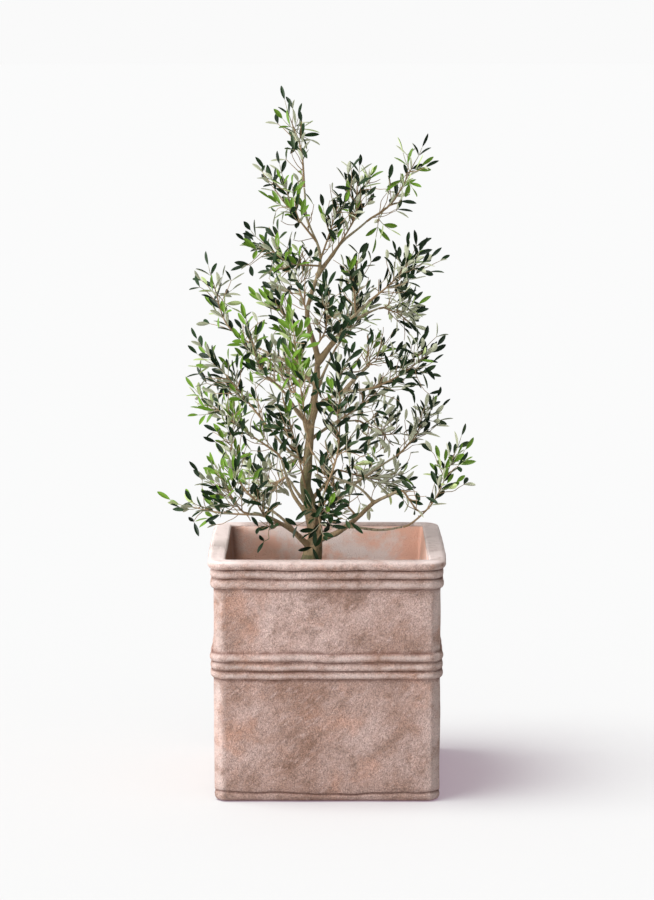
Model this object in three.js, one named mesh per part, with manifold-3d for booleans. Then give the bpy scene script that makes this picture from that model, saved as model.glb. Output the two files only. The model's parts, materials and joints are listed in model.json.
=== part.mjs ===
// A young olive tree in a square terracotta planter.
// Units are millimetres and +Z is up. The origin is the middle of the planter's underside, and the
// planter's front faces -Y. Left and right are as seen from the front.
import * as THREE from 'three';
import { mergeVertices } from 'three/addons/utils/BufferGeometryUtils.js';
import Module from 'manifold-3d';

const wasm = await Module();
wasm.setup();

// Planter: a straight-sided square pot with a rolled rim and bands of rounded beads.
const POT_HEIGHT = 490;
const BODY_WIDTH = 452;
const RIM_WIDTH = 476;
const MOUTH_WIDTH = 404;
const FLOOR_THICKNESS = 34;
const FOOT_ROUNDING = 12;
const RIM_ROLL_HEIGHT = 18;
const MOUTH_EDGE_ROUNDING = 5;
const CORNER_RADIUS = 26;
const MOUTH_CORNER_RADIUS = 14;
const CORNER_STEPS = 3;
const ROUNDING_STEPS = 3;
const BASE_GROOVE = { height: 18, depth: 3, reach: 4 };
const BEADS = [
  { height: 259, tall: 16, proud: 6 },
  { height: 276, tall: 16, proud: 6 },
  { height: 295, tall: 18, proud: 7 },
  { height: 443, tall: 20, proud: 7 },
  { height: 463, tall: 18, proud: 7 },
];

// Soil: level round the trunk and a little lower along the walls.
const SOIL_TOP = 402;
const SOIL_EDGE_DROP = 6;
const SOIL_LEVEL_WIDTH = 330;

// Gap between pieces that meet.
const SEAT_GAP = 0.3;

// Limbs: rings of flat sides, closer together on the trunk.
const TRUNK_SIDES = 8;
const BOUGH_SIDES = 5;
const TWIG_SIDES = 3;
const TRUNK_STEP = 34;
const BOUGH_STEP = 40;
const STEM_STEP = 36;
const COLLAR_SWELL = 0.35;
const COLLAR_REACH = 16;

// Root flare: how far the trunk swells at the soil, and how fast that dies away upwards.
const FLARE_SWELL = 17;
const FLARE_REACH = 88;

// Twigs and leaves. The leaves stand for sprays of smaller ones, so they are about twice life size.
const LEAF_LENGTH = 62;
const LEAF_WIDTH = 21;
const LEAF_THICKNESS = 2.2;
const LEAF_WIDEST = 0.42;
const LEAF_SINK = 0.3;
const LEAF_NECK = 0.12;
const LEAF_LEAN = THREE.MathUtils.degToRad(46);
const STEM_ROOT_RADIUS = 3.4;
const STEM_TIP_RADIUS = 2.6;
const TIP_LEAF_SINK = 3;
const TWIG_ROOT_RADIUS = 1.3;
const TWIG_TIP_RADIUS = 1.3;
const TWIG_LEAN = THREE.MathUtils.degToRad(50);
const TWIG_TURN = THREE.MathUtils.degToRad(137.5);
const TWIG_LIFT = 0.45;
const FIRST_TWIG = 0.2;
const LAST_TWIG = 0.86;
const SHARE_OF_PAIRS_ON_STEM = [0.56, 0.86];
const SHARE_OF_PAIRS_ON_TWIG = [0.62];

// How much the growth varies: each value is a range that a nominal size is multiplied by.
const LEAF_LEAN_RANGE = [0.85, 1.15];
const SIDE_LEAF_RANGE = [0.8, 1.1];
const TIP_LEAF_RANGE = [0.9, 1.1];
const TWIG_RANGE = [0.85, 1.15];
const LEAF_ROLL = 0.45;
const LOWEST_TWIG = 1.1;
const SHORTER_UPWARDS = 0.4;
const SECOND_TRY = 0.8;

// Room that leaves and twigs keep, and where along them it is tested.
const SPACE_MARGIN = 1.2;
const RIM_CLEARANCE = 8;
const LEAF_PROBES = [0.3, LEAF_WIDEST, 0.75, 1];
const TWIG_PROBES = [0.4, 0.7, 1];

// Vectors shorter than this have no direction worth keeping, and points nearer than this are one.
const TOO_SHORT = 0.05;
const SAME_POINT = 1e-4;
const HALVINGS = 24;

const UP = new THREE.Vector3(0, 0, 1);

// Trunk: its line from just under the soil's level, where it is cut flat, to the leader's tip. It
// leans left, with a bend at each fork.
const TRUNK = {
  name: 'trunk',
  points: [
    [-30, 0, 385], [-26, 0, 485], [-41, 0, 595], [-34, 0, 720], [-19, 0, 865],
    [-40, 0, 960], [-13, 0, 1070], [-42, 0, 1160], [-46, 0, 1215],
  ],
  radii: [14, 2.2],
  taper: 0.75,
};

// Boughs: each leaves its parent at a height, or at a share of the parent's length, and bends
// through its middle points to the tip where its leaves begin. Radii are at the root and the tip.
const BOUGHS = [
  { name: 'bough_left_low', on: 'trunk', height: 470, bends: [[-84, -40, 528], [-134, -65, 556]],
    tip: [-158, -74, 560], radii: [7, 2.7] },
  { name: 'bough_right_low', on: 'trunk', height: 492,
    bends: [[22, -44, 517], [61, -65, 550], [95, -80, 583]], tip: [143, -90, 609], radii: [7.4, 2.8] },
  { name: 'bough_left_inner', on: 'bough_left_low', along: 0.25, bends: [[-98, -26, 548]],
    tip: [-130, -18, 566], radii: [4, 2.4] },
  { name: 'bough_right_low_back', on: 'trunk', height: 520, bends: [[39, 38, 586], [89, 60, 622]],
    tip: [143, 78, 655], radii: [4.6, 2.4] },
  { name: 'bough_right_sweep', on: 'bough_right_low', along: 0.42, bends: [[103, -78, 527]],
    tip: [154, -86, 535], radii: [3.2, 2.3] },
  { name: 'bough_front_sweep', on: 'bough_right_low', along: 0.76, bends: [[62, -98, 619], [8, -106, 644]],
    tip: [-26, -106, 685], radii: [2.9, 2.2] },
  { name: 'bough_front_low', on: 'trunk', height: 508, bends: [[-18, -60, 570]], tip: [-4, -98, 612],
    radii: [4.4, 2.4] },
  { name: 'bough_back_low_left', on: 'trunk', height: 545, bends: [[-52, 36, 572]], tip: [-78, 74, 606],
    radii: [5, 2.5] },
  { name: 'bough_back_low_right', on: 'trunk', height: 570, bends: [[-10, 36, 596]], tip: [14, 74, 622],
    radii: [5, 2.5] },
  { name: 'bough_left_rear', on: 'trunk', height: 530, bends: [[-72, 36, 586]], tip: [-94, 50, 652],
    radii: [5, 2.4] },
  { name: 'bough_left_mid', on: 'trunk', height: 650, bends: [[-76, -16, 678]], tip: [-112, -32, 722],
    radii: [4.2, 2.3] },
  { name: 'bough_right_back', on: 'trunk', height: 698, bends: [[18, 30, 732]], tip: [58, 58, 732],
    radii: [3.8, 2.3] },
  { name: 'bough_back_mid_left', on: 'trunk', height: 690, bends: [[-50, 48, 742]], tip: [-62, 84, 780],
    radii: [4.2, 2.3] },
  { name: 'bough_left_front', on: 'trunk', height: 730, bends: [[-56, -20, 756]], tip: [-86, -50, 804],
    radii: [5, 2.4] },
  { name: 'bough_right_mid', on: 'trunk', height: 764, bends: [[27, 5, 795]], tip: [82, 4, 804],
    radii: [4.8, 2.4] },
  { name: 'bough_right_mid_back', on: 'bough_right_mid', along: 0.6, bends: [[60, 16, 826]],
    tip: [84, 34, 846], radii: [3.4, 2.3] },
  { name: 'bough_left_tall', on: 'trunk', height: 812, bends: [[-86, 34, 858]], tip: [-134, 48, 880],
    radii: [3.8, 2.3] },
  { name: 'bough_back_mid_right', on: 'trunk', height: 790, bends: [[-6, 46, 834]], tip: [14, 80, 872],
    radii: [4, 2.3] },
  { name: 'bough_right_fork', on: 'trunk', height: 862, bends: [[16, -6, 906], [60, -20, 962]],
    tip: [86, -34, 988], radii: [6.4, 2.5] },
  { name: 'bough_right_inner', on: 'bough_right_fork', along: 0.6, bends: [[78, 2, 958]],
    tip: [106, 16, 968], radii: [3.8, 2.3] },
  { name: 'bough_right_upper', on: 'trunk', height: 1036, bends: [[30, 12, 1102]], tip: [80, 24, 1144],
    radii: [4.8, 2.3] },
];

// Masses of foliage: each stem grows on from its bough's tip, or from the side of a limb, to the
// mass's tip. Spread is how far its side twigs reach, and young is the share of bright new leaves.
const MASSES = [
  { name: 'foliage_top', on: 'trunk', bend: [-52, 6, 1290], tip: [-73, 12, 1350], spread: 28, twigs: 2,
    young: 0.2 },
  { name: 'foliage_upper_middle', on: 'trunk', height: 1070, bend: [2, -24, 1115], tip: [22, -34, 1180],
    spread: 60, twigs: 5, young: 0 },
  { name: 'foliage_left_shoulder', on: 'trunk', height: 1105, bend: [-68, -30, 1172],
    tip: [-86, -36, 1230], spread: 64, twigs: 5, young: 0.3 },
  { name: 'foliage_left_upper_front', on: 'trunk', height: 1056, bend: [-78, -44, 1068],
    tip: [-130, -60, 1110], spread: 60, twigs: 5, young: 0 },
  { name: 'foliage_left_upper', on: 'trunk', height: 905, bend: [-83, -34, 954], tip: [-101, -44, 983],
    spread: 62, twigs: 5, young: 0.3 },
  { name: 'foliage_front_upper', on: 'trunk', height: 890, bend: [-2, -62, 937], tip: [-2, -96, 997],
    spread: 62, twigs: 5, young: 0 },
  { name: 'foliage_back_upper', on: 'trunk', height: 960, bend: [-63, 60, 1018], tip: [-86, 100, 1051],
    spread: 74, twigs: 5, young: 0 },
  { name: 'foliage_centre_top', on: 'bough_right_upper', along: 0.3, bend: [55, 8, 1153],
    tip: [63, 4, 1226], spread: 78, twigs: 7, young: 0.1 },
  { name: 'foliage_right_shoot', on: 'bough_right_upper', bend: [130, 36, 1179], tip: [179, 46, 1264],
    spread: 10, twigs: 2, young: 0.6 },
  { name: 'foliage_centre_right', on: 'bough_right_fork', along: 0.75, bend: [54, -40, 1015],
    tip: [52, -42, 1068], spread: 64, twigs: 5, young: 0 },
  { name: 'foliage_right_upper', on: 'bough_right_fork', bend: [127, -52, 1024], tip: [168, -72, 1071],
    spread: 62, twigs: 5, young: 0 },
  { name: 'foliage_right_inner', on: 'bough_right_inner', bend: [137, 38, 959], tip: [158, 56, 953],
    spread: 56, twigs: 5, young: 0 },
  { name: 'foliage_right_mid_back', on: 'bough_right_mid_back', bend: [80, 56, 845], tip: [109, 84, 871],
    spread: 68, twigs: 6, young: 0 },
  { name: 'foliage_right_mid', on: 'bough_right_mid', bend: [146, -8, 833], tip: [200, -32, 876],
    spread: 56, twigs: 6, young: 0 },
  { name: 'foliage_right_mid_low', on: 'bough_right_back', along: 0.55, bend: [72, 52, 767],
    tip: [101, 70, 810], spread: 70, twigs: 6, young: 0 },
  { name: 'foliage_right_back', on: 'bough_right_back', bend: [114, 106, 697], tip: [144, 136, 693],
    spread: 72, twigs: 6, young: 0 },
  { name: 'foliage_right_low_back', on: 'bough_right_low_back', bend: [176, 98, 686], tip: [210, 114, 738],
    spread: 44, twigs: 5, young: 0 },
  { name: 'foliage_right_low', on: 'bough_right_low', bend: [188, -96, 567], tip: [207, -106, 577],
    spread: 76, twigs: 6, young: 0 },
  { name: 'foliage_right_far', on: 'bough_right_sweep', bend: [214, -94, 587], tip: [258, -82, 685],
    spread: 36, twigs: 5, young: 0.3 },
  { name: 'foliage_right_low_inner', on: 'bough_right_low', along: 0.55, bend: [22, -60, 598],
    tip: [-16, -70, 665], spread: 68, twigs: 6, young: 0 },
  { name: 'foliage_front_sweep', on: 'bough_front_sweep', bend: [-48, -106, 788], tip: [-68, -106, 944],
    spread: 60, twigs: 7, young: 0.8 },
  { name: 'foliage_front_centre', on: 'bough_front_low', bend: [22, -140, 700], tip: [22, -156, 891],
    spread: 66, twigs: 7, young: 0 },
  { name: 'foliage_front_low', on: 'bough_front_low', along: 0.5, bend: [-14, -92, 562],
    tip: [0, -142, 607], spread: 80, twigs: 7, young: 0 },
  { name: 'foliage_left_low', on: 'bough_left_low', bend: [-178, -86, 574], tip: [-207, -98, 625],
    spread: 68, twigs: 5, young: 0.2 },
  { name: 'foliage_left_far', on: 'bough_left_low', along: 0.85, bend: [-211, -60, 559],
    tip: [-283, -48, 571], spread: 16, twigs: 2, young: 0.4 },
  { name: 'foliage_left_inner', on: 'bough_left_inner', bend: [-178, 0, 613], tip: [-202, 10, 740],
    spread: 58, twigs: 6, young: 0.6 },
  { name: 'foliage_left_rear', on: 'bough_left_rear', bend: [-167, 62, 708], tip: [-245, 62, 770],
    spread: 44, twigs: 5, young: 0.3 },
  { name: 'foliage_left_mid', on: 'bough_left_mid', bend: [-176, -52, 806], tip: [-240, -62, 884],
    spread: 42, twigs: 5, young: 0.1 },
  { name: 'foliage_left_front', on: 'bough_left_front', bend: [-131, -76, 853], tip: [-154, -98, 925],
    spread: 50, twigs: 6, young: 0.1 },
  { name: 'foliage_left_tall', on: 'bough_left_tall', bend: [-203, 56, 928], tip: [-233, 56, 1018],
    spread: 12, twigs: 2, young: 0.4 },
  { name: 'foliage_front_left', on: 'trunk', height: 585, bend: [-63, -76, 701], tip: [-86, -146, 802],
    spread: 74, twigs: 6, young: 0 },
  { name: 'foliage_left_low_inner', on: 'bough_left_low', along: 0.5, bend: [-120, -66, 546],
    tip: [-143, -88, 586], spread: 66, twigs: 6, young: 0 },
  { name: 'foliage_back_low_left', on: 'bough_back_low_left', bend: [-107, 144, 590],
    tip: [-146, 198, 573], spread: 68, twigs: 6, young: 0 },
  { name: 'foliage_back_low_right', on: 'bough_back_low_right', bend: [82, 144, 599], tip: [146, 198, 581],
    spread: 64, twigs: 6, young: 0.1 },
  { name: 'foliage_back_mid_left', on: 'bough_back_mid_left', bend: [-77, 132, 786], tip: [-86, 172, 831],
    spread: 88, twigs: 6, young: 0 },
  { name: 'foliage_back_mid_right', on: 'bough_back_mid_right', bend: [39, 112, 905], tip: [68, 140, 960],
    spread: 60, twigs: 6, young: 0 },
];

// Colours and finishes.
const FINISHES = {
  terracotta: { color: 0xb09288, roughness: 0.9, metalness: 0 },
  soil: { color: 0x3b2c22, roughness: 1, metalness: 0 },
  bark: { color: 0x89796a, roughness: 0.85, metalness: 0 },
  leaves: { color: 0x6e7a5c, roughness: 0.6, metalness: 0 },
  youngLeaves: { color: 0x7f9a55, roughness: 0.6, metalness: 0 },
};
const YOUNG_FROM = 0.3;

// Numbers that look random but are the same every time.
function seededRandom(seed) {
  let state = seed >>> 0;
  return () => {
    state = (Math.imul(state, 1664525) + 1013904223) >>> 0;
    return state / 4294967296;
  };
}

function vector([x, y, z]) {
  return new THREE.Vector3(x, y, z);
}

function between(random, [low, high]) {
  return low + (high - low) * random();
}

// A geometry with its shared vertices merged and only its positions kept.
function closed(geometry) {
  geometry.deleteAttribute('normal');
  geometry.deleteAttribute('uv');
  return mergeVertices(geometry, SAME_POINT);
}

// Solid of a closed geometry, for joining and cutting.
function solidOf(geometry) {
  const merged = closed(geometry);
  return new wasm.Manifold(new wasm.Mesh({
    numProp: 3,
    vertProperties: new Float32Array(merged.attributes.position.array),
    triVerts: new Uint32Array(merged.index.array),
  }));
}

// The largest body of a solid, without loose scraps or sealed hollows.
function largestBody(solid) {
  const bodies = solid.decompose();
  return bodies.reduce((best, body) => (body.volume() > best.volume() ? body : best));
}

function meshOf(name, geometry, finish) {
  const mesh = new THREE.Mesh(geometry, new THREE.MeshStandardMaterial(FINISHES[finish]));
  mesh.name = name;
  return mesh;
}

function meshOfSolid(name, solid, finish) {
  const { vertProperties, triVerts } = largestBody(solid).getMesh();
  const geometry = new THREE.BufferGeometry();
  geometry.setAttribute('position', new THREE.BufferAttribute(new Float32Array(vertProperties), 3));
  geometry.setIndex(new THREE.BufferAttribute(new Uint32Array(triVerts), 1));
  geometry.computeVertexNormals();
  return meshOf(name, geometry, finish);
}

// Square turning: a profile of half widths and heights is turned about the upright axis, and each
// ring is then drawn out to a square with rounded corners.
function squareTurned(profile) {
  const cornerPoints = CORNER_STEPS + 1;
  const sides = 4 * cornerPoints;
  const geometry = new THREE.LatheGeometry(profile, sides);
  const position = geometry.attributes.position;
  for (let i = 0; i < position.count; i += 1) {
    const step = Math.floor(i / profile.length) % sides;
    const quarter = Math.floor(step / cornerPoints);
    const angle = (Math.PI / 2) * (quarter + (step % cornerPoints) / CORNER_STEPS);
    const { x: halfWidth, y: height } = profile[i % profile.length];
    const followed = CORNER_RADIUS + halfWidth - BODY_WIDTH / 2;
    const radius = Math.min(halfWidth, Math.max(MOUTH_CORNER_RADIUS, followed));
    const middle = (Math.PI / 2) * (quarter + 0.5);
    const centre = (halfWidth - radius) * Math.SQRT2;
    position.setXYZ(
      i,
      centre * Math.cos(middle) + radius * Math.cos(angle),
      centre * Math.sin(middle) + radius * Math.sin(angle),
      height,
    );
  }
  return geometry;
}

// Points along part of an ellipse about a centre, from one angle to another in degrees.
function roundedProfile(centreX, centreY, acrossX, acrossY, from, to, steps) {
  const points = [];
  for (let i = 0; i <= steps; i += 1) {
    const angle = THREE.MathUtils.degToRad(from + ((to - from) * i) / steps);
    points.push(new THREE.Vector2(centreX + acrossX * Math.cos(angle), centreY + acrossY * Math.sin(angle)));
  }
  return points;
}

function makePot() {
  const half = BODY_WIDTH / 2;
  const mouth = MOUTH_WIDTH / 2;
  const roll = RIM_ROLL_HEIGHT / 2;
  const profile = [new THREE.Vector2(0, 0)];
  profile.push(...roundedProfile(half - FOOT_ROUNDING, FOOT_ROUNDING, FOOT_ROUNDING, FOOT_ROUNDING,
    -90, 0, ROUNDING_STEPS));
  profile.push(new THREE.Vector2(half, BASE_GROOVE.height - BASE_GROOVE.reach));
  profile.push(new THREE.Vector2(half - BASE_GROOVE.depth, BASE_GROOVE.height));
  profile.push(new THREE.Vector2(half, BASE_GROOVE.height + BASE_GROOVE.reach));
  for (const { height, tall, proud } of BEADS) {
    profile.push(...roundedProfile(half, height, proud, tall / 2, -90, 90, ROUNDING_STEPS + 1));
  }
  profile.push(...roundedProfile(RIM_WIDTH / 2 - roll, POT_HEIGHT - roll, roll, roll,
    -60, 90, ROUNDING_STEPS + 1));
  profile.push(...roundedProfile(mouth + MOUTH_EDGE_ROUNDING, POT_HEIGHT - MOUTH_EDGE_ROUNDING,
    MOUTH_EDGE_ROUNDING, MOUTH_EDGE_ROUNDING, 90, 180, ROUNDING_STEPS - 1));
  profile.push(new THREE.Vector2(mouth, FLOOR_THICKNESS));
  profile.push(new THREE.Vector2(0, FLOOR_THICKNESS));
  const kept = profile.filter((point, i) => i === 0 || point.distanceTo(profile[i - 1]) > SEAT_GAP);
  return meshOf('pot', closed(squareTurned(kept)), 'terracotta');
}

function makeSoil() {
  const half = MOUTH_WIDTH / 2 - SEAT_GAP;
  const bottom = FLOOR_THICKNESS + SEAT_GAP;
  const profile = [
    new THREE.Vector2(0, bottom),
    new THREE.Vector2(half, bottom),
    new THREE.Vector2(half, SOIL_TOP - SOIL_EDGE_DROP),
    new THREE.Vector2(SOIL_LEVEL_WIDTH / 2, SOIL_TOP),
    new THREE.Vector2(0, SOIL_TOP),
  ];
  return meshOf('soil', closed(squareTurned(profile)), 'soil');
}

// Tube along a curve: a cylinder whose rings are set square to the curve, each at its own radius.
function tubeGeometry(curve, sides, steps, radiusAt) {
  const geometry = new THREE.CylinderGeometry(1, 1, 1, sides, steps);
  const frames = curve.computeFrenetFrames(steps, false);
  const position = geometry.attributes.position;
  const point = new THREE.Vector3();
  for (let i = 0; i < position.count; i += 1) {
    const ring = Math.round((position.getY(i) + 0.5) * steps);
    const share = ring / steps;
    const across = frames.normals[ring];
    const over = new THREE.Vector3().crossVectors(across, frames.tangents[ring]);
    const radius = radiusAt(share);
    point.copy(curve.getPointAt(share));
    point.addScaledVector(across, position.getX(i) * radius);
    point.addScaledVector(over, position.getZ(i) * radius);
    position.setXYZ(i, point.x, point.y, point.z);
  }
  return geometry;
}

// Extra radius that moves a tube's flat sides out by a distance.
function sideGrowth(distance, sides) {
  return distance / Math.cos(Math.PI / sides);
}

// A limb: its curve, its radius along it, and the line of points that twigs keep clear of.
function makeLimb(curve, radiusAt, sides, stepLength) {
  const steps = Math.max(3, Math.round(curve.getLength() / stepLength));
  const line = curve.getSpacedPoints(steps).map((point, i) => ({ point, radius: radiusAt(i / steps) }));
  const solidGrownBy = (growth) => solidOf(tubeGeometry(curve, sides, steps,
    (share) => radiusAt(share) + sideGrowth(growth, sides)));
  return { curve, line, solidGrownBy };
}

function makeTrunk() {
  const curve = new THREE.CatmullRomCurve3(TRUNK.points.map(vector), false, 'centripetal');
  const length = curve.getLength();
  const [rootRadius, tipRadius] = TRUNK.radii;
  const radiusAt = (share) => tipRadius + (rootRadius - tipRadius) * (1 - share) ** (1 / TRUNK.taper)
    + FLARE_SWELL * Math.exp((-share * length) / FLARE_REACH);
  return makeLimb(curve, radiusAt, TRUNK_SIDES, TRUNK_STEP);
}

// Share of a limb's length at which it reaches a height.
function shareAtHeight(curve, height) {
  let low = 0;
  let high = 1;
  for (let i = 0; i < HALVINGS; i += 1) {
    const middle = (low + high) / 2;
    if (curve.getPointAt(middle).z < height) {
      low = middle;
    } else {
      high = middle;
    }
  }
  return low;
}

// Where a bough or stem leaves its parent: on the parent's line, or just past its tip.
function rootOf(row, limbs) {
  const { curve } = limbs.get(row.on);
  if (row.height !== undefined) {
    return { point: curve.getPointAt(shareAtHeight(curve, row.height)), atTip: false };
  }
  if (row.along !== undefined) {
    return { point: curve.getPointAt(row.along), atTip: false };
  }
  const tangent = curve.getTangentAt(1);
  return { point: curve.getPointAt(1).addScaledVector(tangent, SEAT_GAP), tangent, atTip: true };
}

// The trunk's solid, cut flat just above the soil.
function trunkSolid(trunk) {
  const block = new THREE.BoxGeometry(MOUTH_WIDTH, MOUTH_WIDTH, SOIL_TOP);
  block.translate(0, 0, SOIL_TOP / 2 + SEAT_GAP);
  return trunk.solidGrownBy(0).subtract(solidOf(block));
}

function makeBough(row, limbs) {
  const root = rootOf(row, limbs);
  const points = [root.point, ...row.bends.map(vector), vector(row.tip)];
  const curve = new THREE.CatmullRomCurve3(points, false, 'centripetal');
  const length = curve.getLength();
  const [rootRadius, tipRadius] = row.radii;
  const radiusAt = (share) => tipRadius + (rootRadius - tipRadius) * (1 - share)
    + COLLAR_SWELL * rootRadius * Math.exp((-share * length) / COLLAR_REACH);
  return makeLimb(curve, radiusAt, BOUGH_SIDES, BOUGH_STEP);
}

// A bough's solid with its root cut to the limbs that were made before it.
function cutToEarlier(limb, earlier) {
  let solid = limb.solidGrownBy(0);
  for (const other of earlier) {
    solid = solid.subtract(other.solidGrownBy(SEAT_GAP));
  }
  return solid;
}

function distanceToSegment(point, start, end) {
  return new THREE.Line3(start, end).closestPointToPoint(point, true, new THREE.Vector3()).distanceTo(point);
}

function distanceToStem(point, stem) {
  let nearest = Infinity;
  for (let i = 1; i < stem.line.length; i += 1) {
    nearest = Math.min(nearest, distanceToSegment(point, stem.line[i - 1], stem.line[i]));
  }
  return nearest;
}

// True where a point stands clear of every limb by a margin.
function clearOfLimbs(point, limbs, margin) {
  for (const { line } of limbs.values()) {
    for (let i = 1; i < line.length; i += 1) {
      const room = margin + Math.max(line[i - 1].radius, line[i].radius);
      if (distanceToSegment(point, line[i - 1].point, line[i].point) < room) {
        return false;
      }
    }
  }
  return true;
}

// True where a point is in the open: above the rim, or in the planter's mouth above the soil.
function clearOfPot(point) {
  const reach = Math.max(Math.abs(point.x), Math.abs(point.y));
  if (reach < MOUTH_WIDTH / 2 - RIM_CLEARANCE) {
    return point.z > SOIL_TOP + RIM_CLEARANCE;
  }
  return point.z > POT_HEIGHT + RIM_CLEARANCE;
}

// True where a point is nearer to its own mass's stem than to any other by twice a margin.
function inOwnSpace(point, stem, stems, margin) {
  const own = distanceToStem(point, stem);
  return stems.every((other) => other === stem || distanceToStem(point, other) > own + 2 * margin);
}

function makeStem(row, limbs) {
  const root = rootOf(row, limbs);
  const points = [root.point, vector(row.bend), vector(row.tip)];
  if (root.atTip) {
    points.splice(1, 0, root.point.clone().addScaledVector(root.tangent, 2 * STEM_ROOT_RADIUS));
  }
  const curve = new THREE.CatmullRomCurve3(points, false, 'centripetal');
  const steps = Math.max(3, Math.round(curve.getLength() / STEM_STEP));
  return { row, root, curve, line: curve.getSpacedPoints(steps) };
}

// The point and direction at a share of a line of evenly spaced points, on the axis of its tube.
function alongLine(line, share) {
  const place = share * (line.length - 1);
  const segment = Math.min(Math.floor(place), line.length - 2);
  const [start, end] = [line[segment], line[segment + 1]];
  return {
    point: start.clone().lerp(end, place - segment),
    tangent: end.clone().sub(start).normalize(),
  };
}

// Two directions square to a tangent, and the side that faces an angle about it.
function sideFacing(tangent, angle) {
  const across = new THREE.Vector3().crossVectors(tangent, UP);
  if (across.length() < TOO_SHORT) {
    across.set(1, 0, 0);
  }
  across.normalize();
  const over = new THREE.Vector3().crossVectors(across, tangent).normalize();
  return across.multiplyScalar(Math.cos(angle)).addScaledVector(over, Math.sin(angle));
}

function leaning(tangent, side, lean) {
  return tangent.clone().multiplyScalar(Math.cos(lean)).addScaledVector(side, Math.sin(lean)).normalize();
}

// A leaf: where it is rooted, which way it points, which way it faces, and its length.
function makeLeaf(root, direction, tangent, length, roll, sink) {
  const face = tangent.clone().addScaledVector(direction, -tangent.dot(direction));
  if (face.length() < TOO_SHORT) {
    face.copy(sideFacing(direction, Math.PI / 2));
  }
  face.normalize().applyAxisAngle(direction, roll);
  const base = root.clone().addScaledVector(direction, -sink);
  const width = new THREE.Vector3().crossVectors(face, direction);
  const neck = base.clone().addScaledVector(direction, length * LEAF_NECK);
  const widest = base.clone().addScaledVector(direction, length * LEAF_WIDEST);
  const outline = [
    neck,
    widest.clone().addScaledVector(width, LEAF_WIDTH / 2),
    base.clone().addScaledVector(direction, length),
    widest.clone().addScaledVector(width, -LEAF_WIDTH / 2),
  ];
  return { base, direction, width, face, length, outline };
}

// True where an edge of one leaf's blade runs through the other's.
function edgesRunThrough(leaf, other) {
  const [neck, left, tip, right] = other.outline;
  return leaf.outline.some((start, i) => {
    const end = leaf.outline[(i + 1) % leaf.outline.length];
    const edge = new THREE.Ray(start, end.clone().sub(start).normalize());
    return [[neck, left, tip], [neck, tip, right]].some(([a, b, c]) => {
      const hit = edge.intersectTriangle(a, b, c, false, new THREE.Vector3());
      return hit !== null && hit.distanceTo(start) < start.distanceTo(end);
    });
  });
}

function leavesCross(leaf, other) {
  return edgesRunThrough(leaf, other) || edgesRunThrough(other, leaf);
}

// Leaves along a twig: opposite pairs, each pair turned square to the last, and one at the tip.
function leavesAlong(line, pairs, random) {
  const leaves = [];
  const turn = random() * Math.PI;
  pairs.forEach((share, pair) => {
    const { point, tangent } = alongLine(line, share);
    for (const half of [0, 1]) {
      const side = sideFacing(tangent, turn + (Math.PI / 2) * pair + Math.PI * half);
      const lean = LEAF_LEAN * between(random, LEAF_LEAN_RANGE);
      const length = LEAF_LENGTH * between(random, SIDE_LEAF_RANGE);
      const roll = between(random, [-LEAF_ROLL, LEAF_ROLL]);
      const direction = leaning(tangent, side, lean);
      leaves.push(makeLeaf(point, direction, tangent, length, roll, LEAF_SINK));
    }
  });
  const { point, tangent } = alongLine(line, 1);
  const length = LEAF_LENGTH * between(random, TIP_LEAF_RANGE);
  leaves.push(makeLeaf(point, tangent.clone(), tangent, length, turn, TIP_LEAF_SINK));
  return leaves;
}

function leafFits(leaf, stem, stems, limbs) {
  return LEAF_PROBES.every((share) => {
    const narrowing = share > LEAF_WIDEST ? (1 - share) / (1 - LEAF_WIDEST) : share / LEAF_WIDEST;
    const margin = (LEAF_WIDTH / 2) * narrowing + SPACE_MARGIN;
    const point = leaf.base.clone().addScaledVector(leaf.direction, leaf.length * share);
    return clearOfPot(point) && clearOfLimbs(point, limbs, margin) && inOwnSpace(point, stem, stems, margin);
  });
}

// A side twig: it leaves the stem at a lean, lifts towards the sky and is skipped where it leaves
// its mass's space or touches a limb.
function makeTwig(stem, stems, limbs, share, angle, length) {
  const { point: start, tangent } = alongLine(stem.line, share);
  const direction = leaning(tangent, sideFacing(tangent, angle), TWIG_LEAN);
  const lifted = direction.clone().addScaledVector(UP, TWIG_LIFT).normalize();
  const tip = start.clone().addScaledVector(direction, length / 2).addScaledVector(lifted, length / 2);
  const margin = TWIG_ROOT_RADIUS + SPACE_MARGIN;
  const fits = TWIG_PROBES.map((part) => start.clone().lerp(tip, part)).every((point) => (
    clearOfPot(point) && clearOfLimbs(point, limbs, margin) && inOwnSpace(point, stem, stems, margin)));
  return fits ? [start, tip] : null;
}

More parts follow.
